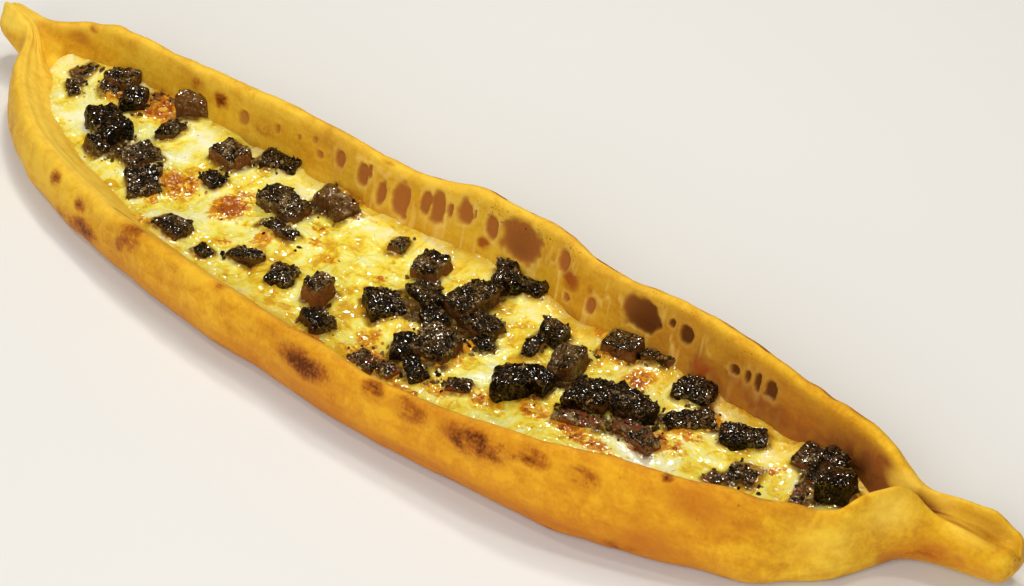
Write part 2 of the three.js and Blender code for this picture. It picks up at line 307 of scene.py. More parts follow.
def bumpFrom(height, distance, strength):
    inputs = {"Height": height, "Distance": distance * mm, "Strength": strength}
    return addNode(height.id_data, "ShaderNodeBump", inputs).outputs["Normal"]


def vectorMath(operation, vector, other=(0.0, 0.0, 0.0)):
    # the second value is a factor where the operation is SCALE, and a vector elsewhere
    inputs = {0: vector, "Scale" if operation == "SCALE" else 1: other}
    return addNode(vector.id_data, "ShaderNodeVectorMath", inputs, operation=operation).outputs["Vector"]


def pushFrom(colour, strength):
    # a random colour becomes a push in any direction, up to as long as strength says
    return vectorMath("SCALE", vectorMath("SUBTRACT", colour, (0.5, 0.5, 0.5)), strength)


def facetNormal(tree, size, tilt):
    # small flat facets about `size` mm across, each turned its own way, so that some of them catch the light
    surface = addNode(tree, "ShaderNodeNewGeometry", {}).outputs["Normal"]
    turn = pushFrom(objectCells(tree, size)["Color"], tilt)
    return vectorMath("NORMALIZE", vectorMath("ADD", surface, turn))


# Dough

breadCurves = {
    "nearEdge": [(-217.5, 30.5), (-214, 27), (-206, 24.2), (-199, 22.3), (-194, 17), (-190, 10.5),
                 (-178, -2.3), (-162, -13.5), (-142, -23.2), (-98, -35.2), (-62, -41), (-36, -43.8),
                 (-2, -45.6), (31, -47.7), (54, -47), (86, -45.3), (104, -43), (116, -39.6),
                 (137, -32.6), (144, -29.2), (158, -24.2), (166, -17), (175, -7.6), (179, 0.8),
                 (184, 10), (192, 15), (207, 18.6), (211, 19.6), (213.6, 22), (214.3, 24.5)],
    "farEdge": [(-217.5, 34.5), (-214, 36.5), (-199, 36.5), (-190, 39), (-178, 43.5), (-142, 46),
                (-98, 45), (-36, 45), (6, 47.5), (31, 47), (54, 43.5), (86, 43), (116, 40), (158, 36.5),
                (184, 30.5), (192, 31.5), (207, 33.2), (211, 32.6), (213.6, 30.5), (214.3, 28)],
    "underside": [(-217.5, 11.5), (-214, 10), (-207, 8), (-199, 6), (-190, 1.5), (-182, 0), (168, 0),
                  (177, 0.5), (184, 2), (209, 3.5), (212, 4.3), (213.6, 6), (214.3, 8)],
    "nearCrest": [(-217.5, 17.5), (-214, 21.3), (-207, 22), (-199, 20), (-190, 17.5), (-142, 17.5),
                  (-98, 18.5), (-36, 21), (31, 22), (54, 23.5), (86, 26), (116, 27.5), (144, 26.3),
                  (154, 25.4), (162, 25.2), (168, 23.4), (172, 23.7), (177, 27.2), (181, 27.5),
                  (185, 24.6), (188, 21), (192, 18), (200, 16.3), (209, 14.6), (212, 14), (213.6, 12.5),
                  (214.3, 11)],
    "farCrest": [(-217.5, 15.5), (-214, 18.5), (-199, 19), (-178, 22.5), (-165, 25.8), (-142, 25.2),
                 (-120, 26), (-98, 27.4), (-64, 29.1), (-30, 27.1), (-11, 28.6), (1, 31.1), (39, 31.7),
                 (54, 29.4), (66, 29.2), (90, 30.8), (113, 30.9), (126, 29.9), (137, 28), (148, 27),
                 (159, 26.2), (168, 25.2), (173, 23.6), (179, 20.8), (186, 19.4), (202, 19.3),
                 (209, 16.5), (212, 15.5), (213.6, 13.5), (214.3, 11)],
    "nearWall": [(-217.5, 2.5), (-214, 5), (-199, 9), (-190, 19), (-178, 21), (-162, 20.5), (-142, 19.5),
                 (-122, 18.8), (-98, 17), (-62, 15.3), (-24, 15), (31, 12), (86, 12), (116, 15),
                 (158, 17), (168, 19), (177, 17), (184, 13), (192, 10), (209, 8), (214.3, 5)],
    "farWall": [(-217.5, 2.5), (-214, 5), (-199, 7), (-190, 10), (-178, 11), (6, 12), (177, 12),
                (192, 10), (209, 8), (214.3, 5)],
    "floor": [(-217.5, 16.5), (-214, 20.5), (-207, 21), (-199, 19), (-192, 15), (-178, 8), (-162, 5.5),
              (-142, 5), (144, 5), (158, 7), (168, 11), (177, 15.5), (184, 16), (192, 16.2), (200, 15.2),
              (206, 14), (209, 14.6), (212, 14.8), (213.6, 13), (214.3, 11)],
    "nearLean": [(-217.5, 0.5), (-207, 2), (-178, 3), (-62, 1.5), (54, 2), (86, 3.5), (116, 7), (158, 7),
                 (168, 5), (192, 2), (214.3, 0.5)],
    "cheeseLevel": [(-190, 9.5), (-181, 12), (-165, 12), (-140, 11.2), (0, 10.6), (110, 11), (150, 12.3),
                    (165, 13), (176, 11.5)],
}
curve = {name: smoothCurve(pairs) for name, pairs in breadCurves.items()}

dough = {
    "startX": -217.5,
    "endX": 214.3,
    "centreShift": 1.6,
    "stations": 500,
    "rimWidth": 5.5,
    "crestOvershoot": 1.2,
    "crestPlaces": [6, 15.6],
    "crestWidth": 1.1,
    "bubbleDepth": 0.9,
    "bubbleRim": 0.2,
    "threadHeight": 0.22,
    "foldHeight": 0.13,
    "foldsAround": 9,
    "foldWander": 1.5,
    "fibreHeight": 0.07,
    "outerFibreHeight": 0.1,
    "spotHeight": 0.3,
    "glowHeight": 0.25,
    # mesh points in each span of the section, from the middle of the underside round to the far side
    "spanPoints": [3, 3, 6, 12, 16, 10, 8, 12, 8, 5, 2, 2, 14, 24, 14, 8, 8, 10, 8, 5, 3, 3],
    # unevenness of the surface: height, size and seed of each noise
    "relief": [(0.5, 24, 3), (0.24, 9, 4), (0.09, 3.6, 5)],
    "crestRelief": [(0.5, (14, 30, 30), 6), (0.34, (5, 9, 9), 7)],
    "fibres": [(1, (20, 2.6, 2.6), 8), (0.5, (9, 1.5, 1.5), 9)],
    "bubbleWobble": [(0.2, 3.2, 11), (0.1, 1.4, 13)],
    # parts of the section and spans along x: places without the feature, then with all of it
    "farInner": [(11.6, 12.3), (15.2, 14.4)],
    "nearInner": [(6.2, 7.2), (10.5, 9.5)],
    "nearOuter": [(2.2, 3.2), (6.4, 5.2)],
    "bubbledSpan": [(-112, -100), (134, 122)],
    "knobSpan": [(-193, -204)],
    "foldedSpan": [(-95, -135)],
    "threadSpan": [(-72, -40), (142, 118)],
    "rimSpan": [(-75, -45)],
    "warmSpan": [(-170, 60), (172, 140)],
    "shadedSpan": [(196, 182)],
    "glazedSpan": [(-150, -90)],
    # heights in millimetres, and for the warm side places across: without the feature, then with all of it
    "freeHeights": (0.3, 2.5),
    "threadHeights": (29.5, 25),
    "knobHeights": (14, 19),
    "footShadeHeights": (25, 18),
    "hollowEndShadeHeights": (20, 15),
    "glazeHeights": (17, 13),
    "warmAcross": (60, -20),
    # painted shade low on the outside, in the bands below
    # darker bands low on the outside: strength, shares of a height at which a band ends and is full, that
    # height, span along x
    "lowShadeBands": [(0.85, 0.8, 0.1, 20, [(-190, -90), (165, 135)]),
                 (0.5, 0.5, 0.25, 26, [(20, 60), (130, 100)])],
    # bands along the bread: place in the section, width there, strength, span along x
    # the pale bands beside the crests: paler crust and painted highlight
    "paleAndHighlightBands": [(15.2, 0.8, 0.4, [(150, 40)]), (7.2, 0.8, 0.2, [(140, 60)]),
                  (7.8, 1.7, 0.85, [(-65, -100)])],
    "crestLine": [(15.8, 0.2, 1, [(-60, 0), (190, 170)])],
    # changes along x: by how much, where they start and where they are complete
    "farShade": 0.2,
    "farShadeSteps": [(0.5, 45, 100), (0.5, 145, 170)],
    "footShadeSteps": [(0.35, 50, 110)],
    "hollowFade": [(0.3, -55, -68), (0.1, 98, 108)],
    "rimFade": [(0.5, 20, 80)],
    "threadFade": [(0.75, 85, 110)],
    # strength of the pale bubble rims, of the threads and of the toasted line on the crests
    "rimPaint": 0.45,
    "threadPaint": 0.75,
    "crestToast": 0.75,
    # soft spots of painted shade: x, y, z, length along x, size across, strength
    "cavityShadows": [(159, 26, 15, 8, 5, 1), (168, 24, 14, 8, 4, 0.7)],
    "bubbleShade": [(21.4, 36, 23.7, 9, 8, 0.2), (73, 35, 22.9, 8, 6, 0.12)],
    "hollowEndShade": [(176, 22, 16, 12, 8, 1)],
    "tailFlapShade": [(202, 26.5, 16, 10, 4.5, 0.6), (199, 22.5, 15.5, 10, 2.4, 0.7)],
    # colour ramps from the darkest to the lightest mottling
    "yellowTones": [(0.40, (0.57, 0.245, 0.012)), (0.5, (0.73, 0.385, 0.016)), (0.60, (0.85, 0.53, 0.035))],
    "orangeTones": [(0.40, (0.50, 0.165, 0.012)), (0.5, (0.64, 0.265, 0.013)), (0.60, (0.77, 0.38, 0.018))],
    "creamyHighlight": (0.95, 0.64, 0.08, 1),
    "shaded": (0.28, 0.085, 0.016, 1),
    "paintedLowShade": (0.46, 0.125, 0.014, 1),
    "toasted": (0.44, 0.135, 0.010, 1),
    "scorched": (0.12, 0.024, 0.003, 1),
    "membrane": (0.40, 0.13, 0.026, 1),
    "shadedMembrane": (0.105, 0.030, 0.006, 1),
    "cavityShadow": (0.035, 0.010, 0.002, 1),
    "threads": (0.84, 0.55, 0.12, 1),
    "ember": (0.33, 0.055, 0.010, 1),
    "soot": (0.03, 0.014, 0.007, 1),
    # painted layers over the mottling: paint, strength, colour
    "layers": [("paleAndHighlight", 0.85, "creamyHighlight"), ("shade", 0.8, "shaded"), ("under", 0.7, "paintedLowShade"),
               ("cavityShadow", 0.85, "cavityShadow"), ("string", 0.8, "threads")],
    "surface": {"Roughness": 0.55, "Specular IOR Level": 0.25, "Specular Tint": (1.0, 0.65, 0.22, 1),
                "Subsurface Weight": 0.1, "Subsurface Radius": (1.0, 0.45, 0.12),
                "Subsurface Scale": 0.0025, "Coat Roughness": 0.22},
}

# torn air bubbles in the far inner wall: x, height of the middle, width, height
airBubbles = [
    (-100, 19.4, 4.8, 5.5), (-84, 21.2, 2.3, 3.5), (-74, 22.4, 2.3, 2.3), (-67, 24.3, 2.3, 2.3),
    (-64, 20.3, 3.2, 3.1), (-55, 22, 3.6, 6.2), (-45, 20.3, 5.4, 7.8), (-42, 22.8, 2.2, 4.7),
    (-36, 17.7, 4.4, 7.8), (-28, 18.7, 7.5, 12), (-18, 21.3, 3.9, 8.5), (-13, 21.6, 5.6, 11.5),
    (-8, 22.4, 2.1, 4.6), (-2, 24, 6.4, 8.4), (2, 25, 1.3, 3.1), (9.2, 23.1, 4.6, 7.6),
    (21.4, 23.7, 16.6, 15.2), (40, 25.2, 4.9, 7.5), (44, 15.5, 2.8, 2.7), (54, 17.1, 4, 5.3),
    (73, 22.9, 14.8, 10.5), (85, 25.1, 2.3, 3), (91, 24.2, 6.1, 5.9), (111, 22.7, 3.3, 3),
    (116, 23.1, 2.2, 4.4), (120, 23, 2.6, 5.9), (125, 22.9, 5.1, 5.2),
]

# browned places: x, y, z, length along x, size across, strength
brownedSpots = [
    (-124, -27, 15, 3, 3, 0.9), (-107, -32, 15, 3.5, 3, 0.75), (-103, -35, 9, 9, 3.5, 0.9),
    (-78, -37, 19, 6, 5, 0.8), (-82, -38, 14, 3, 2.5, 0.7), (-114, -33, 6, 12, 4, 0.5),
    (-88, -29, 18.5, 8, 1.5, 0.4), (105, 28, 19, 14, 4, 0.3), (137, 25, 20, 12, 4, 0.4),
    (-54, -41, 20, 5, 3, 0.25),
    (-34, -40, 22, 3.5, 2.5, 0.45), (8, -47, 17, 12, 4.5, 1.0), (36, -46, 21.5, 4.5, 3.5, 0.9),
    (51, -46, 21.5, 7, 4.5, 0.65), (75, -45, 21.5, 11, 5, 1.0), (86, -42, 23, 4, 3, 0.75),
    (124, -37.5, 5, 10, 3, 0.8), (4, -46, 20, 7, 3, 0.5),
    (94, -40, 24, 6, 3, 0.85), (110, -37, 23, 6, 4, 0.5), (131, -26, 27.5, 1.5, 1.5, 0.9),
    (102, -42, 4.5, 2.5, 1.5, 0.7), (-139, 38, 25, 4, 1.5, 0.3), (-79, 41, 28, 3, 1.5, 0.35),
    (-36, 38, 28, 3, 1.2, 0.35), (-99, 35, 21, 2, 1.5, 0.5), (181, 9, 24, 1.5, 1, 0.35),
    (-88, 34, 20, 9, 4, 0.4), (30, -46, 10, 22, 3, 0.25), (150, -27, 8, 16, 2.5, 0.2),
    (-111, 35.7, 21, 3.6, 3, 1.0), (-124, 36, 22, 5, 3, 0.4), (-14, -36.5, 20, 12, 2, 0.45),
    (4, -37.5, 20.5, 8, 1.8, 0.45), (20, -38.5, 21, 9, 1.8, 0.4), (0, -41, 21, 14, 3, 0.3),
    (194, 13.5, 7.5, 12, 4, 0.5),
]

# reddish-orange places: x, y, z, length along x, size across, strength
glowingSpots = [
    (-195, 27, 14, 4.5, 1.7, 0.55), (-180, 21, 10, 1.2, 1.5, 0.7), (-167, 8, 12, 1.2, 1.5, 0.6),
    (-180, 34, 19, 7, 3.5, 0.55), (-175, 37, 23, 3, 1.6, 0.8), (-171, 40, 24, 4, 2, 0.5),
    (7, 36, 17, 3, 2.4, 1.0), (45, 35, 21, 4.2, 3.8, 1.0), (53, 34, 22, 1.8, 1.6, 0.8),
    (99.5, 31, 17, 4, 3.5, 1.0), (137, 24, 20, 5, 3.5, 0.8), (0, 38, 18, 2, 1.4, 0.5),
]

# pale floury places and painted highlights at both ends, in the same form
paleAndHighlightPlaces = [
    (177, 23, 20.5, 7, 4, 1), (186, 25, 19, 8, 3, 0.8), (201, 19.5, 17, 8, 2.5, 0.6),
    (182, 9, 22, 9, 7, 0.85), (-152, 3, 14, 14, 7, 0.35), (172, -8, 15, 14, 9, 0.4),
]

# painted shade: darker brown places low on the near side and under the tail, in the same form
outerShadePlaces = [
    (185, 10.5, 4.5, 12, 5, 1.3), (196, 15, 9, 11, 4, 1.4), (208, 17.5, 8, 8, 3.5, 0.7),
    (142, -26, 23, 12, 5, 0.9), (132, -35, 11.5, 14, 5, 0.8), (8, -47.4, 9, 14, 4, 0.5),
]

# sooty specks along the far crest, in the same form
sootPlaces = [
    (15, 39, 28, 16, 3, 1), (26, 38, 29, 12, 3, 1), (78, 36, 30, 10, 3, 0.6), (88, 35, 29, 9, 3, 0.6),
    (114, 32, 29, 8, 3, 0.5), (157, 28, 25, 6, 3, 0.4), (42, 38, 30.5, 10, 2, 0.6), (-60, 40, 29, 10, 2, 0.3),
]


def wallControls(edge, crest, thick, lean, outwards, base, floor, half):
    # control points of one side wall, from the underside over the crest down into the trough; shares of
    # the half width keep both walls apart where the bread is narrow
    rim = np.minimum(dough["rimWidth"], thick * 0.5)
    height = crest - base
    top = crest + dough["crestOvershoot"]
    slope = lean + rim + np.maximum(0, thick - lean - rim) * 0.35
    insets = [np.minimum(14, 0.75 * half), np.minimum(np.minimum(9, 0.5 * half), thick), 1 + 0 * half,
              -2 + 0 * half, lean * 0.4, lean + rim * 0.15, np.minimum(lean + rim * 0.85, 0.6 * half),
              np.minimum(slope, 0.76 * half), np.minimum(thick, 0.9 * half),
              np.minimum(thick + 3, 0.96 * half)]
    heights = [base, base, base + height * 0.05, base + height * 0.38, base + height * 0.82, top, top,
               np.maximum(base + height * 0.8, floor), floor + (crest - floor) * 0.35, floor - 0.2]
    return [np.stack([edge - outwards * inset, z], -1) for inset, z in zip(insets, heights)]


def breadGrid(x, turns):
    # points of the bread at stations x and section places turns, (station, around, 3)
    at = {name: value(x) for name, value in curve.items()}
    near, far, base, floor = at["nearEdge"], at["farEdge"], at["underside"], at["floor"]
    half = (far - near) / 2
    farLean = np.minimum(3, at["farWall"] * 0.25)
    nearSide = wallControls(near, at["nearCrest"], at["nearWall"], at["nearLean"], -1, base, floor, half)
    farSide = wallControls(far, at["farCrest"], at["farWall"], farLean, 1, base, floor, half)
    trough = np.stack([(nearSide[-1][:, 0] + farSide[-1][:, 0]) / 2, floor], -1)
    under = np.stack([(near + far) / 2, base], -1)
    control = np.stack([under, *nearSide, trough, *farSide[::-1]], 1)
    i = np.floor(turns).astype(int)
    t = turns - i
    u = 1 - t
    weights = [u ** 3 / 6, (3 * t ** 3 - 6 * t ** 2 + 4) / 6, (3 * u ** 3 - 6 * u ** 2 + 4) / 6, t ** 3 / 6]
    count = control.shape[1]
    section = sum(w[None, :, None] * control[:, (i - 1 + k) % count] for k, w in enumerate(weights))
    return np.concatenate([np.broadcast_to(x[:, None, None], section.shape[:2] + (1,)), section], -1)


def doughStations():
    # stations stand closer together over the air bubbles and at both ends
    x = np.linspace(dough["startX"], dough["endX"], 2000)
    density = 1 + 0.9 * within(dough["bubbledSpan"], x) + 1.2 * bell(x, -205, 14) + bell(x, 190, 22)
    total = np.concatenate([[0], np.cumsum((density[1:] + density[:-1]) / 2)])
    return np.interp(np.linspace(0, total[-1], dough["stations"]), total, x)


def bubbleFields(grid, farInner):
    # how deep a place lies inside a torn bubble, and how near it is to a bubble's raised rim
    xs, zs = grid[..., 0], grid[..., 2]
    inside, rims = np.zeros(xs.shape), np.zeros(xs.shape)
    wobble = layeredNoise(grid, dough["bubbleWobble"], 1)
    for x, z, wide, tall in airBubbles:
        away = (np.abs(xs - x) / (wide / 2)) ** 2.5 + (np.abs(zs - z) / (tall / 2)) ** 2.5
        away = away ** 0.4 * wobble
        inside = np.maximum(inside, ease(1.22, 0.66, away))
        rims = np.maximum(rims, np.exp(-((away - 1.0 - 0.55 / wide) * wide / 1.5) ** 2))
    return inside * farInner, rims * ease(0.7, 0.2, inside) * farInner


def shapeDough():
    x = doughStations()
    turns = np.concatenate([k + np.arange(n) / n for k, n in enumerate(dough["spanPoints"])])
    grid = breadGrid(x, turns)
    normal = gridNormals(grid)
    around = np.broadcast_to(turns, grid.shape[:2])
    xs, zs = grid[..., 0].copy(), grid[..., 2].copy()
    raised = zs - curve["underside"](xs)

    def span(name):
        return within(dough[name], xs)

    def height(name):
        return ease(*dough[name], zs)

    def bands(name):
        return sum(bell(around, place, width) * within(along, xs) * strength
                   for place, width, strength, along in dough[name])

    def steps(name):
        return sum(change * ease(start, end, xs) for change, start, end in dough[name])

    def faded(name):
        return math.prod(1 - change * ease(start, end, xs) for change, start, end in dough[name])

    # masks of the section: everything off the table, the crests, the far inner wall, the near outside
    free = ease(*dough["freeHeights"], raised)
    crest = sum(bell(around, place, dough["crestWidth"]) for place in dough["crestPlaces"])
    farInner = within(dough["farInner"], around)
    nearOuter = within(dough["nearOuter"], around)

    lift = layeredNoise(grid, dough["relief"]) + crest * layeredNoise(grid, dough["crestRelief"])
    fibreHeight = dough["fibreHeight"] + dough["outerFibreHeight"] * nearOuter
    lift = lift + layeredNoise(grid, dough["fibres"]) * fibreHeight

    # stretched folds on the inner slope at the left end
    folds = np.sin(around * dough["foldsAround"] + dough["foldWander"] * noise(grid, (30, 12, 12), 10))
    lift = lift + span("foldedSpan") * within(dough["nearInner"], around) * dough["foldHeight"] * folds

    spots = spotField(grid, brownedSpots)
    glow = spotField(grid, glowingSpots)
    lift = lift + dough["spotHeight"] * spots * nearOuter + dough["glowHeight"] * glow

    inside, rims = bubbleFields(grid, farInner)
    threads = ease(0.2, 0.0, np.abs(noise(grid, (2.4, 40, 15), 12)))
    threads = threads * farInner * (1 - inside) * span("threadSpan") * height("threadHeights")
    lift = lift - dough["bubbleDepth"] * inside + dough["bubbleRim"] * rims + dough["threadHeight"] * threads

    grid = grid + normal * (lift * free)[..., None]
    grid[..., 2] = np.maximum(grid[..., 2], 0)

    # each end is closed by triangles around a middle point
    rows, columns = grid.shape[:2]
    faces = gridFaces(rows, columns, True).tolist()
    points = np.concatenate([grid.reshape(-1, 3), [grid[0].mean(0), grid[-1].mean(0)]])
    first, last, base = len(points) - 2, len(points) - 1, (rows - 1) * columns
    faces += [(first, j, (j + 1) % columns) for j in range(columns)]
    faces += [(last, base + (j + 1) % columns, base + j) for j in range(columns)]
    mesh = makeMesh("doughBoat", points, faces)

    # pale places and painted highlights: the knob's top, bands beside both crests, and the floury ends
    endPaleAndHighlight = spotField(grid, paleAndHighlightPlaces)
    paleAndHighlight = span("knobSpan") * height("knobHeights") + bands("paleAndHighlightBands") + endPaleAndHighlight

    # painted shade: the far inner wall grows darker towards the tail and its foot, but not on the tail itself
    shade = dough["farShade"] + steps("farShadeSteps") + steps("footShadeSteps") * height("footShadeHeights")
    shade = farInner * shade * (1 - endPaleAndHighlight) * span("shadedSpan") + spotField(grid, dough["bubbleShade"])
    hollowEndShade = spotField(grid, dough["hollowEndShade"]) * height("hollowEndShadeHeights") * (1 - endPaleAndHighlight)
    shade = shade + hollowEndShade + spotField(grid, dough["tailFlapShade"])

    low = sum(strength * ease(end, full, raised / tall) * within(along, xs)
              for strength, end, full, tall, along in dough["lowShadeBands"])
    crestLine = bands("crestLine") * ease(-0.3, 0.5, noise(grid, (5, 9, 9), 14))
    strings = dough["rimPaint"] * rims * span("rimSpan") * faded("rimFade")
    strings = strings + dough["threadPaint"] * threads * faded("threadFade")
    foot = farInner * height("glazeHeights") + 0.5 * farInner
    paints = {
        "toast": np.clip(spots + dough["crestToast"] * crestLine, 0, 1),
        # painted shadow in the dark hollow near the tail end
        "cavityShadow": spotField(grid, dough["cavityShadows"]),
        "glow": glow,
        "hollow": inside * faded("hollowFade"),
        "string": np.clip(strings, 0, 1),
        "paleAndHighlight": np.clip(paleAndHighlight, 0, 1),
        "shade": np.clip(shade, 0, 1.5),
        # painted shade low on the outside and under the tail
        "under": np.clip(low + spotField(grid, outerShadePlaces), 0, 1),
        "warm": span("warmSpan") * ease(*dough["warmAcross"], grid[..., 1]),
        "soot": spotField(grid, sootPlaces),
        "glaze": np.clip(foot, 0, 1) * span("glazedSpan"),
    }
    paintAll(mesh, paints, lambda values: np.append(values, [0, 0]))
    return mesh


def doughMaterial():
    material, tree, shader = newMaterial("bakedDough")
    mottle = objectNoise(tree, 6, 4, 0.8)
    grain = objectNoise(tree, 1.2, 4)
    streak = objectNoise(tree, 4, 3, 0.4, (0.22, 1, 1))
    tone = plus(times(objectNoise(tree, 30, 2), 0.36), times(mottle, 0.28), times(streak, 0.24),
                times(grain, 0.16))
    colour = blendColour(readPaint(tree, "warm"), rampColour(tone, dough["yellowTones"]),
                         rampColour(tone, dough["orangeTones"]))
    # the mottling breaks up the painted layers a little
    broken = spread(mottle, 0.3, 0.7, 0.75, 1.2)
    for name, strength, tint in dough["layers"]:
        colour = blendColour(times(readPaint(tree, name), strength, broken, clamp=True), colour, dough[tint])
    torn = spread(plus(mottle, streak), 0.75, 1.3, 0.25, 1.15)
    speckled = spread(objectNoise(tree, 0.9, 3), 0.36, 0.6, 0.75, 1.1)
    burnt = times(readPaint(tree, "toast"), torn, speckled, clamp=True)
    colour = blendColour(spread(burnt, 0.02, 0.45), colour, dough["toasted"])
    colour = blendColour(spread(burnt, 0.3, 0.95), colour, dough["scorched"])
    glow = times(readPaint(tree, "glow"), spread(mottle, 0.3, 0.6, 0.6, 1.1), clamp=True)
    colour = blendColour(spread(glow, 0.1, 0.9, 0.0, 0.9), colour, dough["ember"])
    # inside the torn bubbles a brown membrane, darkened where the painted shade is strong
    shaded = spread(readPaint(tree, "shade"), 0.2, 0.7)
    skin = blendColour(shaded, dough["membrane"], dough["shadedMembrane"])
    colour = blendColour(spread(readPaint(tree, "hollow"), 0.0, 1.0), colour, skin)
    # fine dark specks and pinholes all over the crust
    specks = spread(objectCells(tree, 9)["Distance"], 0.02, 0.045, 0.5, 0.0)
    colour = blendColour(specks, colour, dough["scorched"])
    soot = times(readPaint(tree, "soot"), spread(objectNoise(tree, 0.7, 3), 0.6, 0.7))
    colour = blendColour(soot, colour, dough["soot"])
    feed(shader, dough["surface"])
    feed(shader, {"Base Color": colour, "Normal": bumpFrom(plus(times(grain, 0.6), streak), 0.45, 0.7),
                  "Coat Weight": times(readPaint(tree, "glaze"), 0.35)})
    return material


doughPiece = addObject("doughBoat", shapeDough(), doughMaterial())
finishPiece(doughPiece, "crust", "bread")
print("pide: dough shaped,", len(doughPiece.data.polygons), "faces")


# Roast meat

meat = {
    "bottom": 6.0,
    "voxel": 0.36,
    "squareness": 10.0,
    "plump": 0.35,
    "cornerPull": 0.2,
    "lumpiness": 0.09,
    "taper": 0.05,
    "cubeCuts": 14,
    "tilt": 0.12,
    "seed": 7,
    "chunkSize": 4.2,
    "chunkHeight": 1.1,
    "chunkBend": 0.8,
    "grainSize": 1.25,
    "grainHeight": 0.62,
    # size and height of the fine grains beside the others
    "fineSize": 0.6,
    "fineHeight": 0.5,
    "ridgeHeight": 0.45,
    # a roast bead's height at its middle, and how fast it falls off towards its rim
    "beadTop": 0.62,
    "beadFall": 1.15,
    # area in plan, in square millimetres, from which a lump is fully uneven, and the least share
    "unevenArea": 90,
    "leastUneven": 0.45,
    # upward slopes, heights in millimetres and char: without the feature, then with all of it
    "upperSlopes": (-0.1, 0.75),
    "upperWander": 0.4,
    "crumbSlopes": (0.0, 0.6),
    "crumbHeights": (11, 13),
    "blackChar": (0.88, 1.0),
    # height, size and seed of each noise on a piece
    "swelling": [(0.75, 6, 31), (0.32, 2.1, 5)],
    "charTones": [(0.0, (0.002, 0.001, 0.0005)), (0.28, (0.010, 0.004, 0.001)), (0.5, (0.048, 0.023, 0.006)),
                  (0.75, (0.14, 0.082, 0.028)), (1.0, (0.34, 0.235, 0.10))],
    "sideTones": [(0.3, (0.045, 0.015, 0.003)), (0.52, (0.11, 0.040, 0.009)), (0.75, (0.20, 0.085, 0.022))],
    "redSide": (0.24, 0.05, 0.012, 1),
    "surface": {"Specular IOR Level": 0.1, "Specular Tint": (1.0, 0.84, 0.6, 1), "Coat Roughness": 0.12,
                "Coat IOR": 2.4},
}

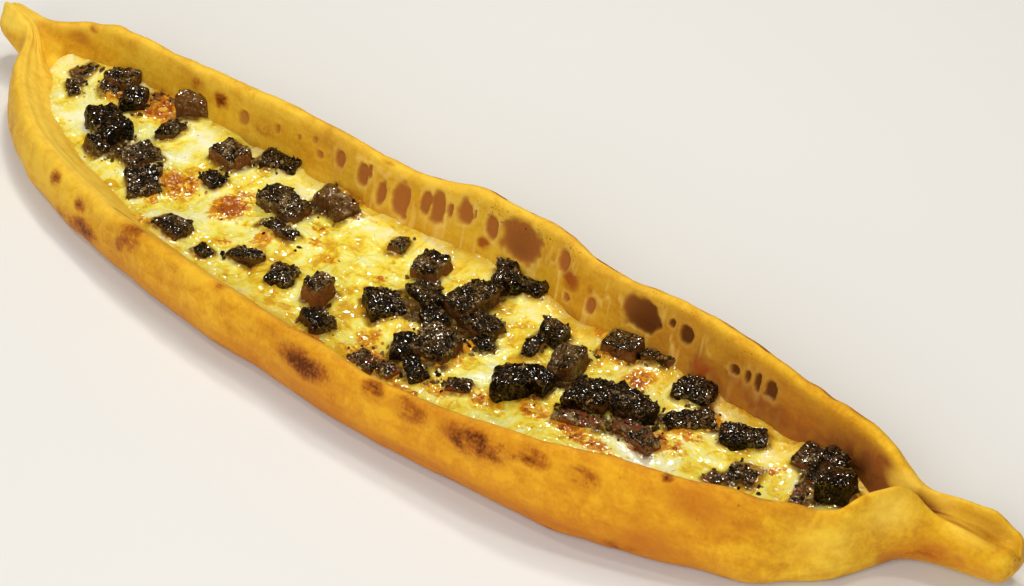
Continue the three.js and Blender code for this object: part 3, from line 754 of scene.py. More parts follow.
# One row for each piece: char (0 brown to 1 black), grain (0 smooth to 1 crumbly), redness, and its
# lumps as x, y, length, width, top, turn in degrees.
meatPieces = [
    (0.75, 0.9, 0.0, [(-171, 27, 9, 5, 13.5, 85)]),
    (0.6, 1.0, 0.1, [(-166, 17, 10, 4, 13.5, -35)]),
    (0.6, 0.5, 0.1, [(-155, 30, 10, 8, 17, 10), (-155, 24, 9, 7, 14, -40)]),
    (1.0, 0.8, 0.0, [(-142.5, 24.5, 12, 8, 17, -60)]),
    (0.95, 0.3, 0.2, [(-136.5, 7.2, 17, 10.5, 17.5, -20)]),
    (0.7, 1.0, 0.1, [(-132, -2, 10, 7, 14, -20)]),
    (0.55, 1.0, 0.0, [(-117, 3, 12, 12, 14.5, 75)]),
    (0.7, 1.0, 0.0, [(-104, -6.8, 13, 11, 14.5, -40)]),
    (0.3, 0.7, 0.4, [(-135, 31, 8, 7, 13, 0)]),
    (0.3, 0.1, 0.1, [(-123.5, 34.3, 12, 10, 20, 40)]),
    (0.9, 1.0, 0.0, [(-120, 20, 9, 6, 14.5, -85)]),
    (0.5, 0.5, 0.5, [(-93, 21, 14, 8, 17, -10)]),
    (0.9, 1.0, 0.0, [(-88, 9, 8, 6, 14, -10)]),
    (0.95, 1.0, 0.0, [(-79.5, 31, 14, 9, 14.5, 10)]),
    (0.7, 0.8, 0.2, [(-63, 15, 11, 10, 15.5, 0), (-55, 14, 10, 7, 15, -85)]),
    (0.8, 0.8, 0.0, [(-52, 3, 16, 5, 13.5, 0)]),
    (0.35, 0.2, 0.0, [(-47, 25, 18, 8, 15.5, -15)]),
    (0.7, 0.7, 0.2, [(-79, -19, 12, 9, 15, -5)]),
    (0.9, 0.7, 0.0, [(-62, -21, 6, 5, 13.5, -5)]),
    (0.9, 0.7, 0.0, [(-50, -14, 10, 6, 13.5, 5)]),
    (0.95, 0.7, 0.0, [(-33, -14, 10, 8, 14.5, -65)]),
    (0.6, 0.12, 0.7, [(-17, -13.7, 9, 8, 18.5, -80)]),
    (0.9, 0.9, 0.0, [(-8, -24, 10, 7, 15, -20)]),
    (0.7, 0.9, 0.2, [(-17, 22, 8, 5, 14, -70)]),
    (0.75, 0.15, 0.6, [(-1, 20, 11, 8, 15.5, -75)]),
    (0.95, 0.9, 0.0, [(2, -4, 13, 13, 15, 55)]),
    (0.95, 0.9, 0.0, [(8.5, 8, 13, 9, 15, -20), (18, 1, 9, 7, 13.8, -20)]),
    (0.85, 0.9, 0.0, [(21, 14, 16, 11, 16, 85)]),
    (0.95, 0.9, 0.0, [(22, 30, 13, 8, 16.5, -55), (29, 32, 12, 7, 15, 15)]),
    (0.85, 0.8, 0.1, [(31, 8, 12, 8, 14.5, -5)]),
    (0.7, 0.8, 0.3, [(37, 2, 7, 5, 13, -15)]),
    (0.7, 0.35, 0.1, [(29, -10, 13, 13, 16.5, -80)]),
    (1.1, 0.3, 0.0, [(22, -17, 11, 7, 15.5, -55), (29.5, -21.5, 12, 6, 14, -30)]),
    (0.45, 0.9, 1.0, [(17, -28, 11, 8, 13.5, -10), (24, -27.5, 9, 6, 13.5, -10)]),
    (0.5, 0.8, 0.8, [(46, -19, 7, 6, 13, 25)]),
    (0.95, 0.4, 0.0, [(51, 18.5, 8, 9, 16.5, -80), (50, 10.5, 10, 4.5, 14, -70)]),
    (0.6, 0.25, 0.0, [(64, 10, 14, 8, 16.5, -75)]),
    (1.1, 0.8, 0.0, [(58, -7, 12, 11, 17, -65), (65, -3, 8, 6, 16, -85)]),
    (0.8, 0.2, 0.3, [(71, 27, 12, 9, 17, 5)]),
    (0.75, 1.0, 0.1, [(83, 30.5, 13, 6, 15, 25)]),
    (0.95, 1.0, 0.0, [(79.5, 1, 12, 12, 16.5, 20), (92, 6, 15, 9, 16, -5)]),
    (0.35, 0.8, 0.9, [(84, -8, 15, 6, 14, 20)]),
    (0.45, 0.9, 0.7, [(102, -3, 15, 7, 14, -10)]),
    (1.0, 0.8, 0.0, [(102, 24, 12, 9, 15, 15)]),
    (0.9, 1.0, 0.1, [(109, 13, 15, 7, 14, 45)]),
    (1.0, 0.9, 0.0, [(126, 17, 14, 7, 15, 25)]),
    (0.4, 0.7, 0.7, [(130.5, -3, 6, 5.5, 13.5, -5)]),
    (0.6, 1.0, 0.1, [(135.5, 4, 9, 8, 13.5, 10)]),
    (0.85, 0.8, 0.3, [(147, 21, 9, 8, 16, -85), (153.5, 24, 8, 7, 17, -10)]),
    (1.3, 0.3, 0.0, [(162.5, 12.5, 10, 9, 22, -80)]),
    (0.35, 0.8, 0.9, [(155, 6, 7, 6, 14, -80)]),
    (0.5, 0.7, 0.7, [(152, 16, 8, 6, 15, -60)]),
]


def cubeShell(cuts):
    # points and quads of a cube's surface, from -1 to 1
    steps = np.linspace(-1, 1, cuts + 1)
    a, b = np.meshgrid(steps, steps, indexing="ij")
    points, faces, start = [], [], 0
    for axis in range(3):
        for side in (-1, 1):
            sheet = np.zeros(a.shape + (3,))
            sheet[..., axis] = side
            sheet[..., (axis + 1) % 3] = a
            sheet[..., (axis + 2) % 3] = b
            quads = gridFaces(cuts + 1, cuts + 1, False)
            faces.append((quads if side > 0 else quads[:, ::-1]) + start)
            points.append(sheet.reshape(-1, 3))
            start += a.size
    return np.concatenate(points), np.concatenate(faces)


def pullCorners(points, random):
    # each of the eight corners of the block is pulled its own way, so that no side stays square
    share = (np.clip(points, -1, 1) + 1) / 2
    moved = points.copy()
    for corner in np.ndindex(2, 2, 2):
        weight = np.prod(np.where(corner, share, 1 - share), axis=1, keepdims=True)
        moved = moved + weight * random.uniform(-1, 1, 3) * meat["cornerPull"]
    return moved


def lumpPoints(shell, row, random):
    # one lump: a cube that is rounded, pulled out of square, tilted a little and turned
    x, y, long, wide, top, turn = row
    power = meat["squareness"]
    rounded = shell / (np.abs(shell) ** power).sum(-1, keepdims=True) ** (1 / power)
    rounded = pullCorners(rounded, random)
    shift = random.uniform(-50, 50, 3)
    rounded = rounded * (1 + meat["lumpiness"] * vectorNoise(rounded + shift, 0.9, 21))
    # the top is a little narrower than the foot, as a shrunken roast cube is
    rounded[:, :2] *= (1 - meat["taper"] * rounded[:, 2:3])
    tall = top - meat["bottom"]
    tiltX, tiltY = random.uniform(-meat["tilt"], meat["tilt"], 2)
    local = rounded * (long / 2 + meat["plump"], wide / 2 + meat["plump"], tall / 2)
    local[:, 2] += local[:, 0] * tiltX + local[:, 1] * tiltY
    angle = math.radians(turn)
    c, s = math.cos(angle), math.sin(angle)
    return local @ np.array([[c, s, 0], [-s, c, 0], [0, 0, 1]]) + (x, y, meat["bottom"] + tall / 2)


def weldLumps(name, lumps, random):
    # the lumps of a piece become one closed skin through a voxel remesh
    shell, quads = cubeShell(meat["cubeCuts"])
    points = np.concatenate([lumpPoints(shell, row, random) for row in lumps])
    faces = np.concatenate([quads + k * len(shell) for k in range(len(lumps))])
    holder = addToScene(name + "Rough", makeMesh(name, points, faces.tolist()))
    skin = holder.modifiers.new("skin", "REMESH")
    skin.mode = "VOXEL"
    skin.voxel_size = meat["voxel"] * mm
    return plainMesh(holder, name)


def roastPiece(number, char, grain, red, lumps):
    name = f"meatChunk{number:02d}"
    random = np.random.default_rng(meat["seed"] * 100 + number)
    mesh = weldLumps(name, lumps, random)
    points = readNumbers(mesh.vertices, "co", 3) / mm - (dough["centreShift"], 0, 0)
    normals = readNumbers(mesh.vertices, "normal", 3)
    upper = ease(*meat["upperSlopes"], normals[:, 2] + meat["upperWander"] * noise(points, 2.5, number))
    side = 1 - upper

    # roast grains of two sizes on larger chunks; a smooth piece has ridges instead
    crumb, shadeOf = grainNoise(points, meat["grainSize"], number)
    fine, fineShade = grainNoise(points, meat["grainSize"] * meat["fineSize"], number + 60)
    beads, fineBeads = (meat["beadTop"] - away * meat["beadFall"] for away in (crumb, fine))
    bent = points + meat["chunkBend"] * vectorNoise(points, 2.6, 90)
    chunk, chunkShade = grainNoise(bent, meat["chunkSize"], number + 20)
    chunks = 0.5 - chunk
    ridges = noise(points, (1.0, 5, 5), number + 9)
    rough = grain * (0.4 + 0.6 * upper)
    largest = max(long * wide for _, _, long, wide, *_ in lumps)
    unevenness = np.clip(largest / meat["unevenArea"], meat["leastUneven"], 1)
    lift = layeredNoise(points, meat["swelling"], 0, number)
    lift = unevenness * (lift + meat["chunkHeight"] * (0.35 + 0.65 * grain) * chunks) - 0.05
    lift = lift + rough * meat["grainHeight"] * (beads + meat["fineHeight"] * fineBeads)
    lift = lift + (1 - grain) * meat["ridgeHeight"] * ridges
    points = points + normals * lift[:, None]
    mesh.vertices.foreach_set("co", placed(points).ravel())
    mesh.update()

    # black pieces stay dark on their sides, brown ones are charred on top only
    black = ease(*meat["blackChar"], char)
    burnt = char * (0.3 + 0.8 * upper) + 0.3 * noise(points, 2.4, number + 77) * upper
    burnt = burnt + black * side * (0.3 + 0.35 * noise(points, 5, number + 66))
    # painted shade: darker in the crevices between the grains and between the chunks
    deep = np.clip(0.5 - 0.9 * beads, 0, 1) * rough + 0.8 * ease(0.1, -0.4, chunks)
    broadShade = 0.22 * noise(points, (5, 5, 3.5), number + 55)
    tone = 0.3 * shadeOf + 0.3 * fineShade + 0.35 * chunkShade + broadShade - 0.45 * deep
    tone = (tone - 0.7 * (char - 0.86)) * (1 - 0.45 * ease(0.95, 1.3, char))
    tone = tone - 0.2 * ease(0.85, 1.0, char) * side
    paintAll(mesh, {
        "burnt": np.clip(burnt, 0, 1),
        "upper": upper,
        "red": np.full(len(points), red),
        "tone": np.clip(tone, 0, 1),
        "scatter": rough * ease(*meat["crumbSlopes"], normals[:, 2])
                   * ease(*meat["crumbHeights"], points[:, 2]),
    })
    return mesh


def meatMaterial():
    material, tree, shader = newMaterial("roastMeat")
    patch = objectNoise(tree, 2.6, 3, 0.6)
    fine = objectNoise(tree, 0.6, 4, 0.5)
    side = rampColour(patch, meat["sideTones"])
    side = blendColour(times(readPaint(tree, "red"), 0.75), side, meat["redSide"])
    tone = plus(readPaint(tree, "tone"), spread(fine, 0.34, 0.66, -0.35, 0.3), clamp=True)
    crust = rampColour(tone, meat["charTones"])
    amount = spread(plus(readPaint(tree, "burnt"), times(patch, 0.3)), 0.38, 0.72)
    glaze = spread(readPaint(tree, "upper"), 0.1, 0.8, 0.2, 1.0)
    feed(shader, meat["surface"])
    feed(shader, {"Base Color": blendColour(amount, side, crust),
                  "Normal": bumpFrom(plus(fine, times(patch, 0.6)), 0.5, 0.9),
                  "Roughness": spread(fine, 0.35, 0.62, 0.3, 0.5),
                  "Coat Weight": times(glaze, spread(fine, 0.40, 0.54, 0.1, 1.0)),
                  "Coat Normal": facetNormal(tree, 0.65, 1.0)})
    return material


meatLook = meatMaterial()
meatPiecesMade = []
for number, (char, grain, red, lumps) in enumerate(meatPieces, 1):
    piece = addObject(f"meatChunk{number:02d}", roastPiece(number, char, grain, red, lumps), meatLook)
    finishPiece(piece, "meat", f"meat_{number:02d}")
    meatPiecesMade.append(piece)
print("pide: roast meat made,", sum(len(p.data.polygons) for p in meatPiecesMade), "faces")


# Melted cheese

cheese = {
    "startX": -189,
    "endX": 175,
    "stations": 600,
    "across": 141,
    "bottom": 3.5,
    "overlap": 2.5,
    "waveHeight": 0.55,
    "wallRise": 1.2,
    "wallReach": 7,
    "leftDip": 3.0,
    "dipReach": 7,
    "meniscusHeight": 1.0,
    "meniscusReach": 0.9,
    "juiceAmount": 0.75,
    "juiceReach": 2.8,
    "blisterReach": 0.62,
    "blisterHeight": 0.75,
    # how far the broader noise pulls the strands, and its size
    "pull": 4,
    "pullSize": 14,
    "seamDistance": 1.9,
    "seamWander": 0.9,
    "seamWidth": 0.45,
    "seamHeight": 0.4,
    # distances from the meat and the walls at which loose things start, and where they are complete
    "meatClear": (0.2, 1.0),
    "wallClear": (-0.2, 0.8),
    # amounts of juice at which a feature starts and is complete
    "juiceStain": (0.45, 1.2),
    "juiceCrumbs": (0.6, 1.2),
    "juiceDarkBetween": (0.7, 1.1),
    # how rounded a lump's outline is in plan, and how far outside it the cheese starts to change
    "lumpCorner": 0.8,
    "lumpMargin": 1.2,
    # each inner wall is searched between these section places, in this many steps, for its cheese line
    "wallPlaces": [(10.6, 6.5), (11.4, 15.5)],
    "wallSamples": 60,
    # the browned skins' ragged edges: height, size and seed of each noise
    "raggedSkin": [(0.35, 3.4, 51), (0.2, 1.5, 52)],
    # spans along x: places without the feature, then with all of it
    "dipSpan": [(-95, -130)],
    "creamySpan": [(-60, -130)],
    # the golden edge along the walls: its reach, and what the far wall and its broad part add
    "goldenReach": 3.2,
    "goldenFarReach": 1.3,
    "goldenBroadReach": 4.5,
    "goldenNearSpan": [(-60, -20), (110, 60)],
    "goldenFarSpan": [(-70, 30)],
    "goldenBroadSpan": [(45, 95)],
    # from the deep hollows to the raised pale curds
    "curdTones": [(0.05, (0.70, 0.38, 0.015)), (0.25, (0.88, 0.64, 0.04)), (0.42, (0.93, 0.79, 0.11)),
                  (0.62, (0.94, 0.87, 0.24)), (0.86, (0.95, 0.92, 0.46)), (1.0, (0.96, 0.95, 0.66))],
    "juice": (0.25, 0.095, 0.008, 1),
    "darkBetweenMeat": (0.055, 0.020, 0.004, 1),
    "goldenEdge": (0.78, 0.40, 0.02, 1),
    "crisped": (0.74, 0.30, 0.008, 1),
    "deepBrown": (0.36, 0.075, 0.007, 1),
    # painted layers over the curds: paint, how the swirl breaks it up, colour
    "layers": [("rim", (0.35, 0.65, 0.45, 0.95), "goldenEdge"), ("juiceAndFootShade", (0.3, 0.6, 0.4, 1.0), "juice"),
               ("darkBetweenMeat", (0.3, 0.55, 0.5, 1.0), "darkBetweenMeat")],
    "surface": {"Specular IOR Level": 0.3, "Specular Tint": (1.0, 0.82, 0.45, 1),
                "Subsurface Weight": 0.15, "Subsurface Radius": (1.0, 0.7, 0.2),
                "Subsurface Scale": 0.0025, "Coat Weight": 0.9, "Coat Roughness": 0.11, "Coat IOR": 1.8},
}

# browned skins on the cheese: x, y, length along x, size across, strength
brownedSkins = [
    (-97, 1, 8, 8, 0.95), (-74, 4, 6, 8, 1.0), (-62, -13, 4, 3.5, 0.6), (16, -27, 12, 5, 0.85),
    (7, -17, 4, 4, 0.7), (-30, 4, 3, 2.2, 0.8), (-31.8, 27.3, 3, 1.2, 0.7), (-10, 6, 2.2, 2.2, 0.6),
    (30, -8, 8, 8, 0.8), (70, -12, 6, 4.5, 0.75), (84, 18, 5, 6, 0.85), (113, 17, 4, 4, 0.7),
    (106, 0, 10, 5, 0.85), (-53, -3, 4, 4, 0.5), (55, -17, 6, 5, 0.6), (-40, 7, 3, 2.4, 0.6),
    (60, 30, 3, 2.5, 0.6), (142, 12, 3, 3, 0.5), (154, 8, 3, 3, 0.5), (71, 26, 8, 7, 0.5),
    (-97, -11, 4, 3, 0.6), (-45, 33, 8, 2.5, 0.6), (-135, 28, 9, 8, 0.85), (-44.4, 13, 3, 1.2, 0.7),
    (108, 31, 7, 3, 0.8), (118, 28.5, 6, 2.5, 0.6), (-150, 22, 5, 4, 0.5),
    (-6, -31, 9, 2.5, 0.7), (-90, -22, 9, 2, 0.5), (34, -31, 9, 2.5, 0.6), (100, -14, 10, 2, 0.45),
    (88, -13, 12, 3, 0.8), (112, 8, 8, 3, 0.6), (40, -24, 6, 3, 0.6), (10, -20, 5, 3, 0.6),
]

# smooth whitish pools in the cheese, pale and with a painted broad highlight, in the same form
paleSheenPools = [
    (-100, 22, 10, 5, 1.0), (-107, 13, 6, 4, 0.8), (-124, 6, 6, 4, 0.5), (-148, 5, 8, 6, 0.7),
    (-58, 24, 6, 4, 0.5), (-32, 24, 8, 5, 0.6), (-14, 31, 9, 3, 0.7), (-37, -6, 7, 4, 0.5),
    (-24, -10, 5, 4, 0.5), (42, 24, 7, 4, 0.9), (52, 30, 6, 3, 0.6), (48, -4, 7, 4, 0.7),
    (44, -13, 5, 3, 0.6), (112, -8, 14, 3.5, 1.0), (124, 4, 10, 3, 0.8), (140, 12, 7, 4, 0.6),
    (-78, -10, 8, 4, 0.6), (-67, -4, 5, 3, 0.5), (90, 22, 5, 4, 0.5), (150, -2, 8, 3, 0.6),
    (-113, 26, 6, 4, 0.9), (47, 31.5, 5, 3, 0.7), (-24, 12, 5, 4, 0.5),
]

# heaps of loose crumbs on the cheese: x, y, length along x, size across, strength
crumbPiles = [
    (-39, 1, 2.5, 4, 0.8), (-6, -16, 3, 2, 0.6), (60, -24, 5, 2, 0.7), (73, -20, 4, 2, 0.6),
    (-126, -6, 4, 3, 0.8), (11, -24, 8, 2, 0.7), (36, -22, 7, 2.5, 0.7), (152, 20, 4, 3, 0.8),
    (-107, 5, 4, 2, 0.6), (-102, -16, 4, 1.5, 0.6), (-73, 26, 3, 2, 0.6), (-79, 27, 3, 2, 0.5),
    (92, 21, 2, 1.5, 0.9), (65, 20, 3, 3, 0.6), (123, 26, 5, 1.5, 0.6), (14, 2, 9, 7, 0.6),
    (-59, 14, 4, 5, 0.6), (86, -4, 12, 3, 0.6), (-130, 3, 6, 3, 0.6), (-148, 27, 5, 5, 0.6),
    (24, 22, 5, 5, 0.6), (-111, -2, 5, 4, 0.5), (140, 0, 5, 3, 0.5), (104, -3, 8, 3, 0.4),
    (98, 10, 5, 4, 1.0), (92, 31, 6, 2.5, 1.0), (54, 14, 3, 5, 0.5), (-160, 26, 5, 5, 0.5),
]


def innerEdges(x, level):
    # where the inner walls stand at the cheese's height
    edges, count = [], cheese["wallSamples"]
    for places in cheese["wallPlaces"]:
        side = breadGrid(x, np.linspace(*places, count))
        rising = np.maximum.accumulate(side[..., 2], axis=1) + np.arange(count) * 1e-6
        edges.append(np.array([np.interp(z, row, ys) for z, row, ys in zip(level, rising, side[..., 1])]))
    return edges


def boxDistance(x, y, row):
    # distance from points in plan to a lump's outline, negative inside
    centreX, centreY, long, wide, _, turn = row
    angle = math.radians(turn)
    u = (x - centreX) * math.cos(angle) + (y - centreY) * math.sin(angle)
    v = -(x - centreX) * math.sin(angle) + (y - centreY) * math.cos(angle)
    outX, outY = np.abs(u) - long / 2 + cheese["lumpCorner"], np.abs(v) - wide / 2 + cheese["lumpCorner"]
    outside = np.hypot(np.maximum(outX, 0), np.maximum(outY, 0))
    return outside + np.minimum(np.maximum(outX, outY), 0) - cheese["lumpMargin"]


def flatSpots(flat, rows):
    return spotField(flat, [(x, y, 0, *rest) for x, y, *rest in rows])


def cheeseTop(x, y, near, far):
    broad = np.sin(x * 0.11 + 1.3) * np.cos(y * 0.16)
    fine = 0.6 * np.sin(x * 0.23 + y * 0.19)
    toWall = np.maximum(0, np.minimum(y - near, far - y))
    rise = cheese["wallRise"] * np.exp(-toWall / cheese["wallReach"])
    return curve["cheeseLevel"](x) + cheese["waveHeight"] * (broad + fine) + rise


def shapeCheese():
    x = np.linspace(cheese["startX"], cheese["endX"], cheese["stations"])
    near, far = (edge[:, None] for edge in innerEdges(x, curve["cheeseLevel"](x) + 1))
    low, high = near - cheese["overlap"], far + cheese["overlap"]
    ys = low + (high - low) * np.linspace(0, 1, cheese["across"])
    xs = np.broadcast_to(x[:, None], ys.shape)
    flat = np.stack([xs, ys, 0 * xs], -1)
    z = cheeseTop(xs, ys, near, far)

    def span(name):
        return within(cheese[name], xs)

    # the cheese lies lower along the left part of the near wall
    fromNear = np.exp(-np.maximum(ys - near, 0) / cheese["dipReach"])
    z = z - cheese["leftDip"] * span("dipSpan") * fromNear

    # distance to the nearest piece of meat, and how much juice the pieces around have let out
    gap, juice = np.full(xs.shape, 99.0), np.zeros(xs.shape)
    for *_, lumps in meatPieces:
        nearest = np.minimum.reduce([boxDistance(xs, ys, row) for row in lumps])
        gap = np.minimum(gap, nearest)
        juice = juice + cheese["juiceAmount"] * np.exp(-np.maximum(nearest, 0) / cheese["juiceReach"])
    away = np.maximum(gap, 0)
    meniscus = (1 + 0.6 * noise(flat, 3, 40)) * np.exp(-away / cheese["meniscusReach"])

    skin = np.zeros(xs.shape)
    ragged = layeredNoise(flat, cheese["raggedSkin"], 1)
    for skinX, skinY, long, across, strength in brownedSkins:
        fromMiddle = (((xs - skinX) / long) ** 2 + ((ys - skinY) / across) ** 2) * ragged
        skin = np.maximum(skin, strength * np.exp(-fromMiddle ** 1.5))

    # melted strands and curds: noise that is pulled along by a broader noise
    pulls = [cheese["pull"] * noise(flat, cheese["pullSize"], seed) for seed in (44, 48)]
    pulled = flat + np.stack([*pulls, 0 * xs], -1)
    strands = 1 - np.abs(noise(pulled, (12, 3.6, 1), 45)) * 2
    curds = noise(pulled, 8, 41) + 0.3 * noise(pulled, 3.2, 42) + 0.08 * noise(flat, 1.4, 43)
    cells, _ = grainNoise(flat, (2.3, 2.3, 99), 46)
    blisters = np.sqrt(np.clip(1 - (cells / cheese["blisterReach"]) ** 2, 0, 1))
    # pale seams run around the meat a little way off; they are raised, and their paleness is a painted
    # highlight
    fromSeam = gap - cheese["seamDistance"] - cheese["seamWander"] * noise(flat, 5, 54)
    seamsWithHighlight = bell(fromSeam, 0, cheese["seamWidth"]) * ease(-0.1, 0.35, noise(flat, 6, 55))
    seamsWithHighlight = seamsWithHighlight * (1 - 0.7 * np.clip(skin, 0, 1))
    relief = 0.5 * ease(-0.4, 0.2, curds) + 0.25 * curds + 0.06 * strands - 0.2
    relief = relief + cheese["seamHeight"] * seamsWithHighlight
    z = z + relief * (1 - 0.5 * skin) + cheese["meniscusHeight"] * meniscus
    z = z + skin * (cheese["blisterHeight"] * blisters + 0.25 * noise(flat, 1.3, 47))

    # the ring of each station runs over the top and back along the bottom
    top = np.stack([xs, ys, z], -1)
    foot = top.copy()
    foot[..., 2] = cheese["bottom"]
    ring = np.concatenate([top, foot[:, ::-1][:, ::10]], 1)
    (rows, columns), around = xs.shape, ring.shape[1]
    faces = gridFaces(rows, around, True).tolist()
    faces.append(tuple(range(around)))
    faces.append(tuple((rows - 1) * around + j for j in reversed(range(around))))
    mesh = makeMesh("meltedCheese", ring, faces)

    edge = np.minimum(ys - near, far - ys)
    free = ease(*cheese["meatClear"], gap) * ease(*cheese["wallClear"], edge)
    sheenPools, piles = flatSpots(flat, paleSheenPools), flatSpots(flat, crumbPiles)
    veins = ease(0.14, 0.0, np.abs(noise(pulled, (9, 6, 1), 53)))
    curdTone = 0.40 + 0.26 * relief + 0.14 * noise(flat, 16, 49) - 0.26 * veins
    # painted highlight: the pools and the seams are lightened
    curdTone = curdTone + 0.1 * span("creamySpan") + 0.5 * sheenPools + 0.25 * seamsWithHighlight
    patchy = ease(-0.5, 0.4, noise(flat, 7, 50) + 0.35)
    cluster = ease(*cheese["juiceStain"], juice) * (0.25 + 0.75 * patchy)
    rubble = ease(*cheese["juiceCrumbs"], juice) + 0.15 * np.exp(-away / 0.6)
    farSide = far - ys < ys - near
    goldenPart = np.where(farSide, span("goldenFarSpan"), span("goldenNearSpan"))
    farReach = cheese["goldenFarReach"] + cheese["goldenBroadReach"] * span("goldenBroadSpan")
    golden = np.exp(-np.maximum(edge, 0) / (cheese["goldenReach"] + farSide * farReach))
    paints = {
        "skin": skin,
        "blister": skin * (0.55 * blisters + 0.6 * bell(cells, 0.56, 0.1)),
        "curd": np.clip(curdTone, 0, 1),
        # juice stain near the meat, with painted shade in a thin ring at each piece's foot
        "juiceAndFootShade": np.clip(0.75 * bell(away, 0, 0.9) + 0.7 * cluster, 0, 1) * (1 - 0.6 * seamsWithHighlight),
        # darker where the meat pieces crowd close together
        "darkBetweenMeat": ease(*cheese["juiceDarkBetween"], juice) * (0.5 + 0.5 * patchy),
        "rim": golden * (0.45 + 0.65 * goldenPart),
        "crumbs": free * np.clip(rubble + 0.8 * piles * ease(5, 1.5, gap), 0, 1),
        "open": free * (1 - 0.8 * skin),
        "smooth": np.clip(1.2 * sheenPools + 0.5 * ease(0, 0.5, curds) + seamsWithHighlight, 0, 1),
    }
    paintAll(mesh, paints, lambda values: np.pad(values, ((0, 0), (0, around - columns))))
    return mesh


def cheeseMaterial():
    material, tree, shader = newMaterial("meltedCheese")
    skin, smooth = readPaint(tree, "skin"), readPaint(tree, "smooth")
    cloud = objectNoise(tree, 10, 2, 1.2)
    swirl = objectNoise(tree, 4.0, 3, 1.6)
    fine = objectNoise(tree, 1.3, 2)
    tone = plus(readPaint(tree, "curd"), spread(cloud, 0.3, 0.7, -0.27, 0.22),
                spread(swirl, 0.3, 0.7, -0.13, 0.13))
    colour = rampColour(tone, cheese["curdTones"])
    for name, swirling, tint in cheese["layers"]:
        amount = times(readPaint(tree, name), spread(swirl, *swirling), clamp=True)
        colour = blendColour(amount, colour, cheese[tint])
    baked = times(skin, spread(plus(cloud, swirl, fine), 1.2, 1.75, 0.12, 1.35), clamp=True)
    colour = blendColour(spread(baked, 0.16, 0.44), colour, cheese["crisped"])
    deep = plus(times(baked, 0.7), times(readPaint(tree, "blister"), 0.4))
    colour = blendColour(spread(deep, 0.35, 0.85, 0.0, 0.95), colour, cheese["deepBrown"])
    height = times(plus(fine, times(swirl, 0.4)), spread(smooth, 0.0, 1.0, 1.2, 0.3))
    # the glittering facets tilt less in patches, on smooth pools and on browned skins
    sparkle = times(spread(objectNoise(tree, 7, 2), 0.42, 0.56, 0.04, 0.75),
                    spread(smooth, 0.2, 1.0, 1.0, 0.3), spread(skin, 0.2, 0.8, 1.0, 0.7))
    feed(shader, cheese["surface"])
    feed(shader, {"Base Color": colour, "Normal": bumpFrom(height, 0.35, 0.7),
                  "Roughness": spread(swirl, 0.35, 0.65, 0.25, 0.45),
                  "Coat Normal": facetNormal(tree, 1.1, sparkle)})
    return material


cheesePiece = addObject("meltedCheese", shapeCheese(), cheeseMaterial())
finishPiece(cheesePiece, "cheese", "cheese")
print("pide: cheese melted,", len(cheesePiece.data.polygons), "faces")


# Crumbs, oil pearls and blisters

scatterSettings = {
    # grains for each square millimetre of fully painted surface, and their radii in millimetres
    "roastGrains": {"Paint": "scatter", "Density": 0.32, "Smallest": 0.25, "Largest": 0.85, "Flatness": 0.7,
                    "Ruggedness": 1.3, "Tilt": 3.1, "Sink": 0.05, "Segments": 5, "Rings": 3, "Seed": 3},
    "fallenCrumbs": {"Paint": "crumbs", "Density": 0.6, "Smallest": 0.3, "Largest": 1.15, "Flatness": 0.7,
                     "Ruggedness": 1.5, "Tilt": 3.1, "Sink": 0.15, "Segments": 5, "Rings": 3, "Seed": 5},
    "oilPearls": {"Paint": "open", "Density": 0.07, "Smallest": 0.2, "Largest": 0.65, "Flatness": 0.5,
                  "Ruggedness": 0.3, "Tilt": 0.1, "Sink": 0.08, "Segments": 6, "Rings": 4, "Seed": 8},
    "brownBlisters": {"Paint": "skin", "Density": 0.1, "Smallest": 0.5, "Largest": 1.35, "Flatness": 0.55,
                      "Ruggedness": 0.5, "Tilt": 0.2, "Sink": 0.3, "Segments": 6, "Rings": 4, "Seed": 11},
}

grainLooks = {
    "roastCrumb": {
        "tones": [(0.0, (0.006, 0.003, 0.001)), (0.35, (0.026, 0.012, 0.003)), (0.7, (0.10, 0.048, 0.012)),
                  (1.0, (0.27, 0.16, 0.055))],
        "surface": {"Roughness": 0.35, "Specular IOR Level": 0.25, "Coat Weight": 0.8},
    },
    "oilPearl": {
        # the whitish tones are partly painted glints on the pearls
        "tones": [(0.0, (0.80, 0.55, 0.08)), (0.4, (0.92, 0.80, 0.26)), (1.0, (0.97, 0.95, 0.72))],
        "surface": {"Roughness": 0.12, "Specular IOR Level": 0.5, "Coat Weight": 0.8},
    },
    "brownBlister": {
        "tones": [(0.0, (0.82, 0.42, 0.05)), (0.4, (0.62, 0.19, 0.018)), (0.75, (0.36, 0.07, 0.008)),
                  (1.0, (0.12, 0.022, 0.005))],
        "surface": {"Roughness": 0.14, "Specular IOR Level": 0.5, "Coat Weight": 0.6},
    },
}


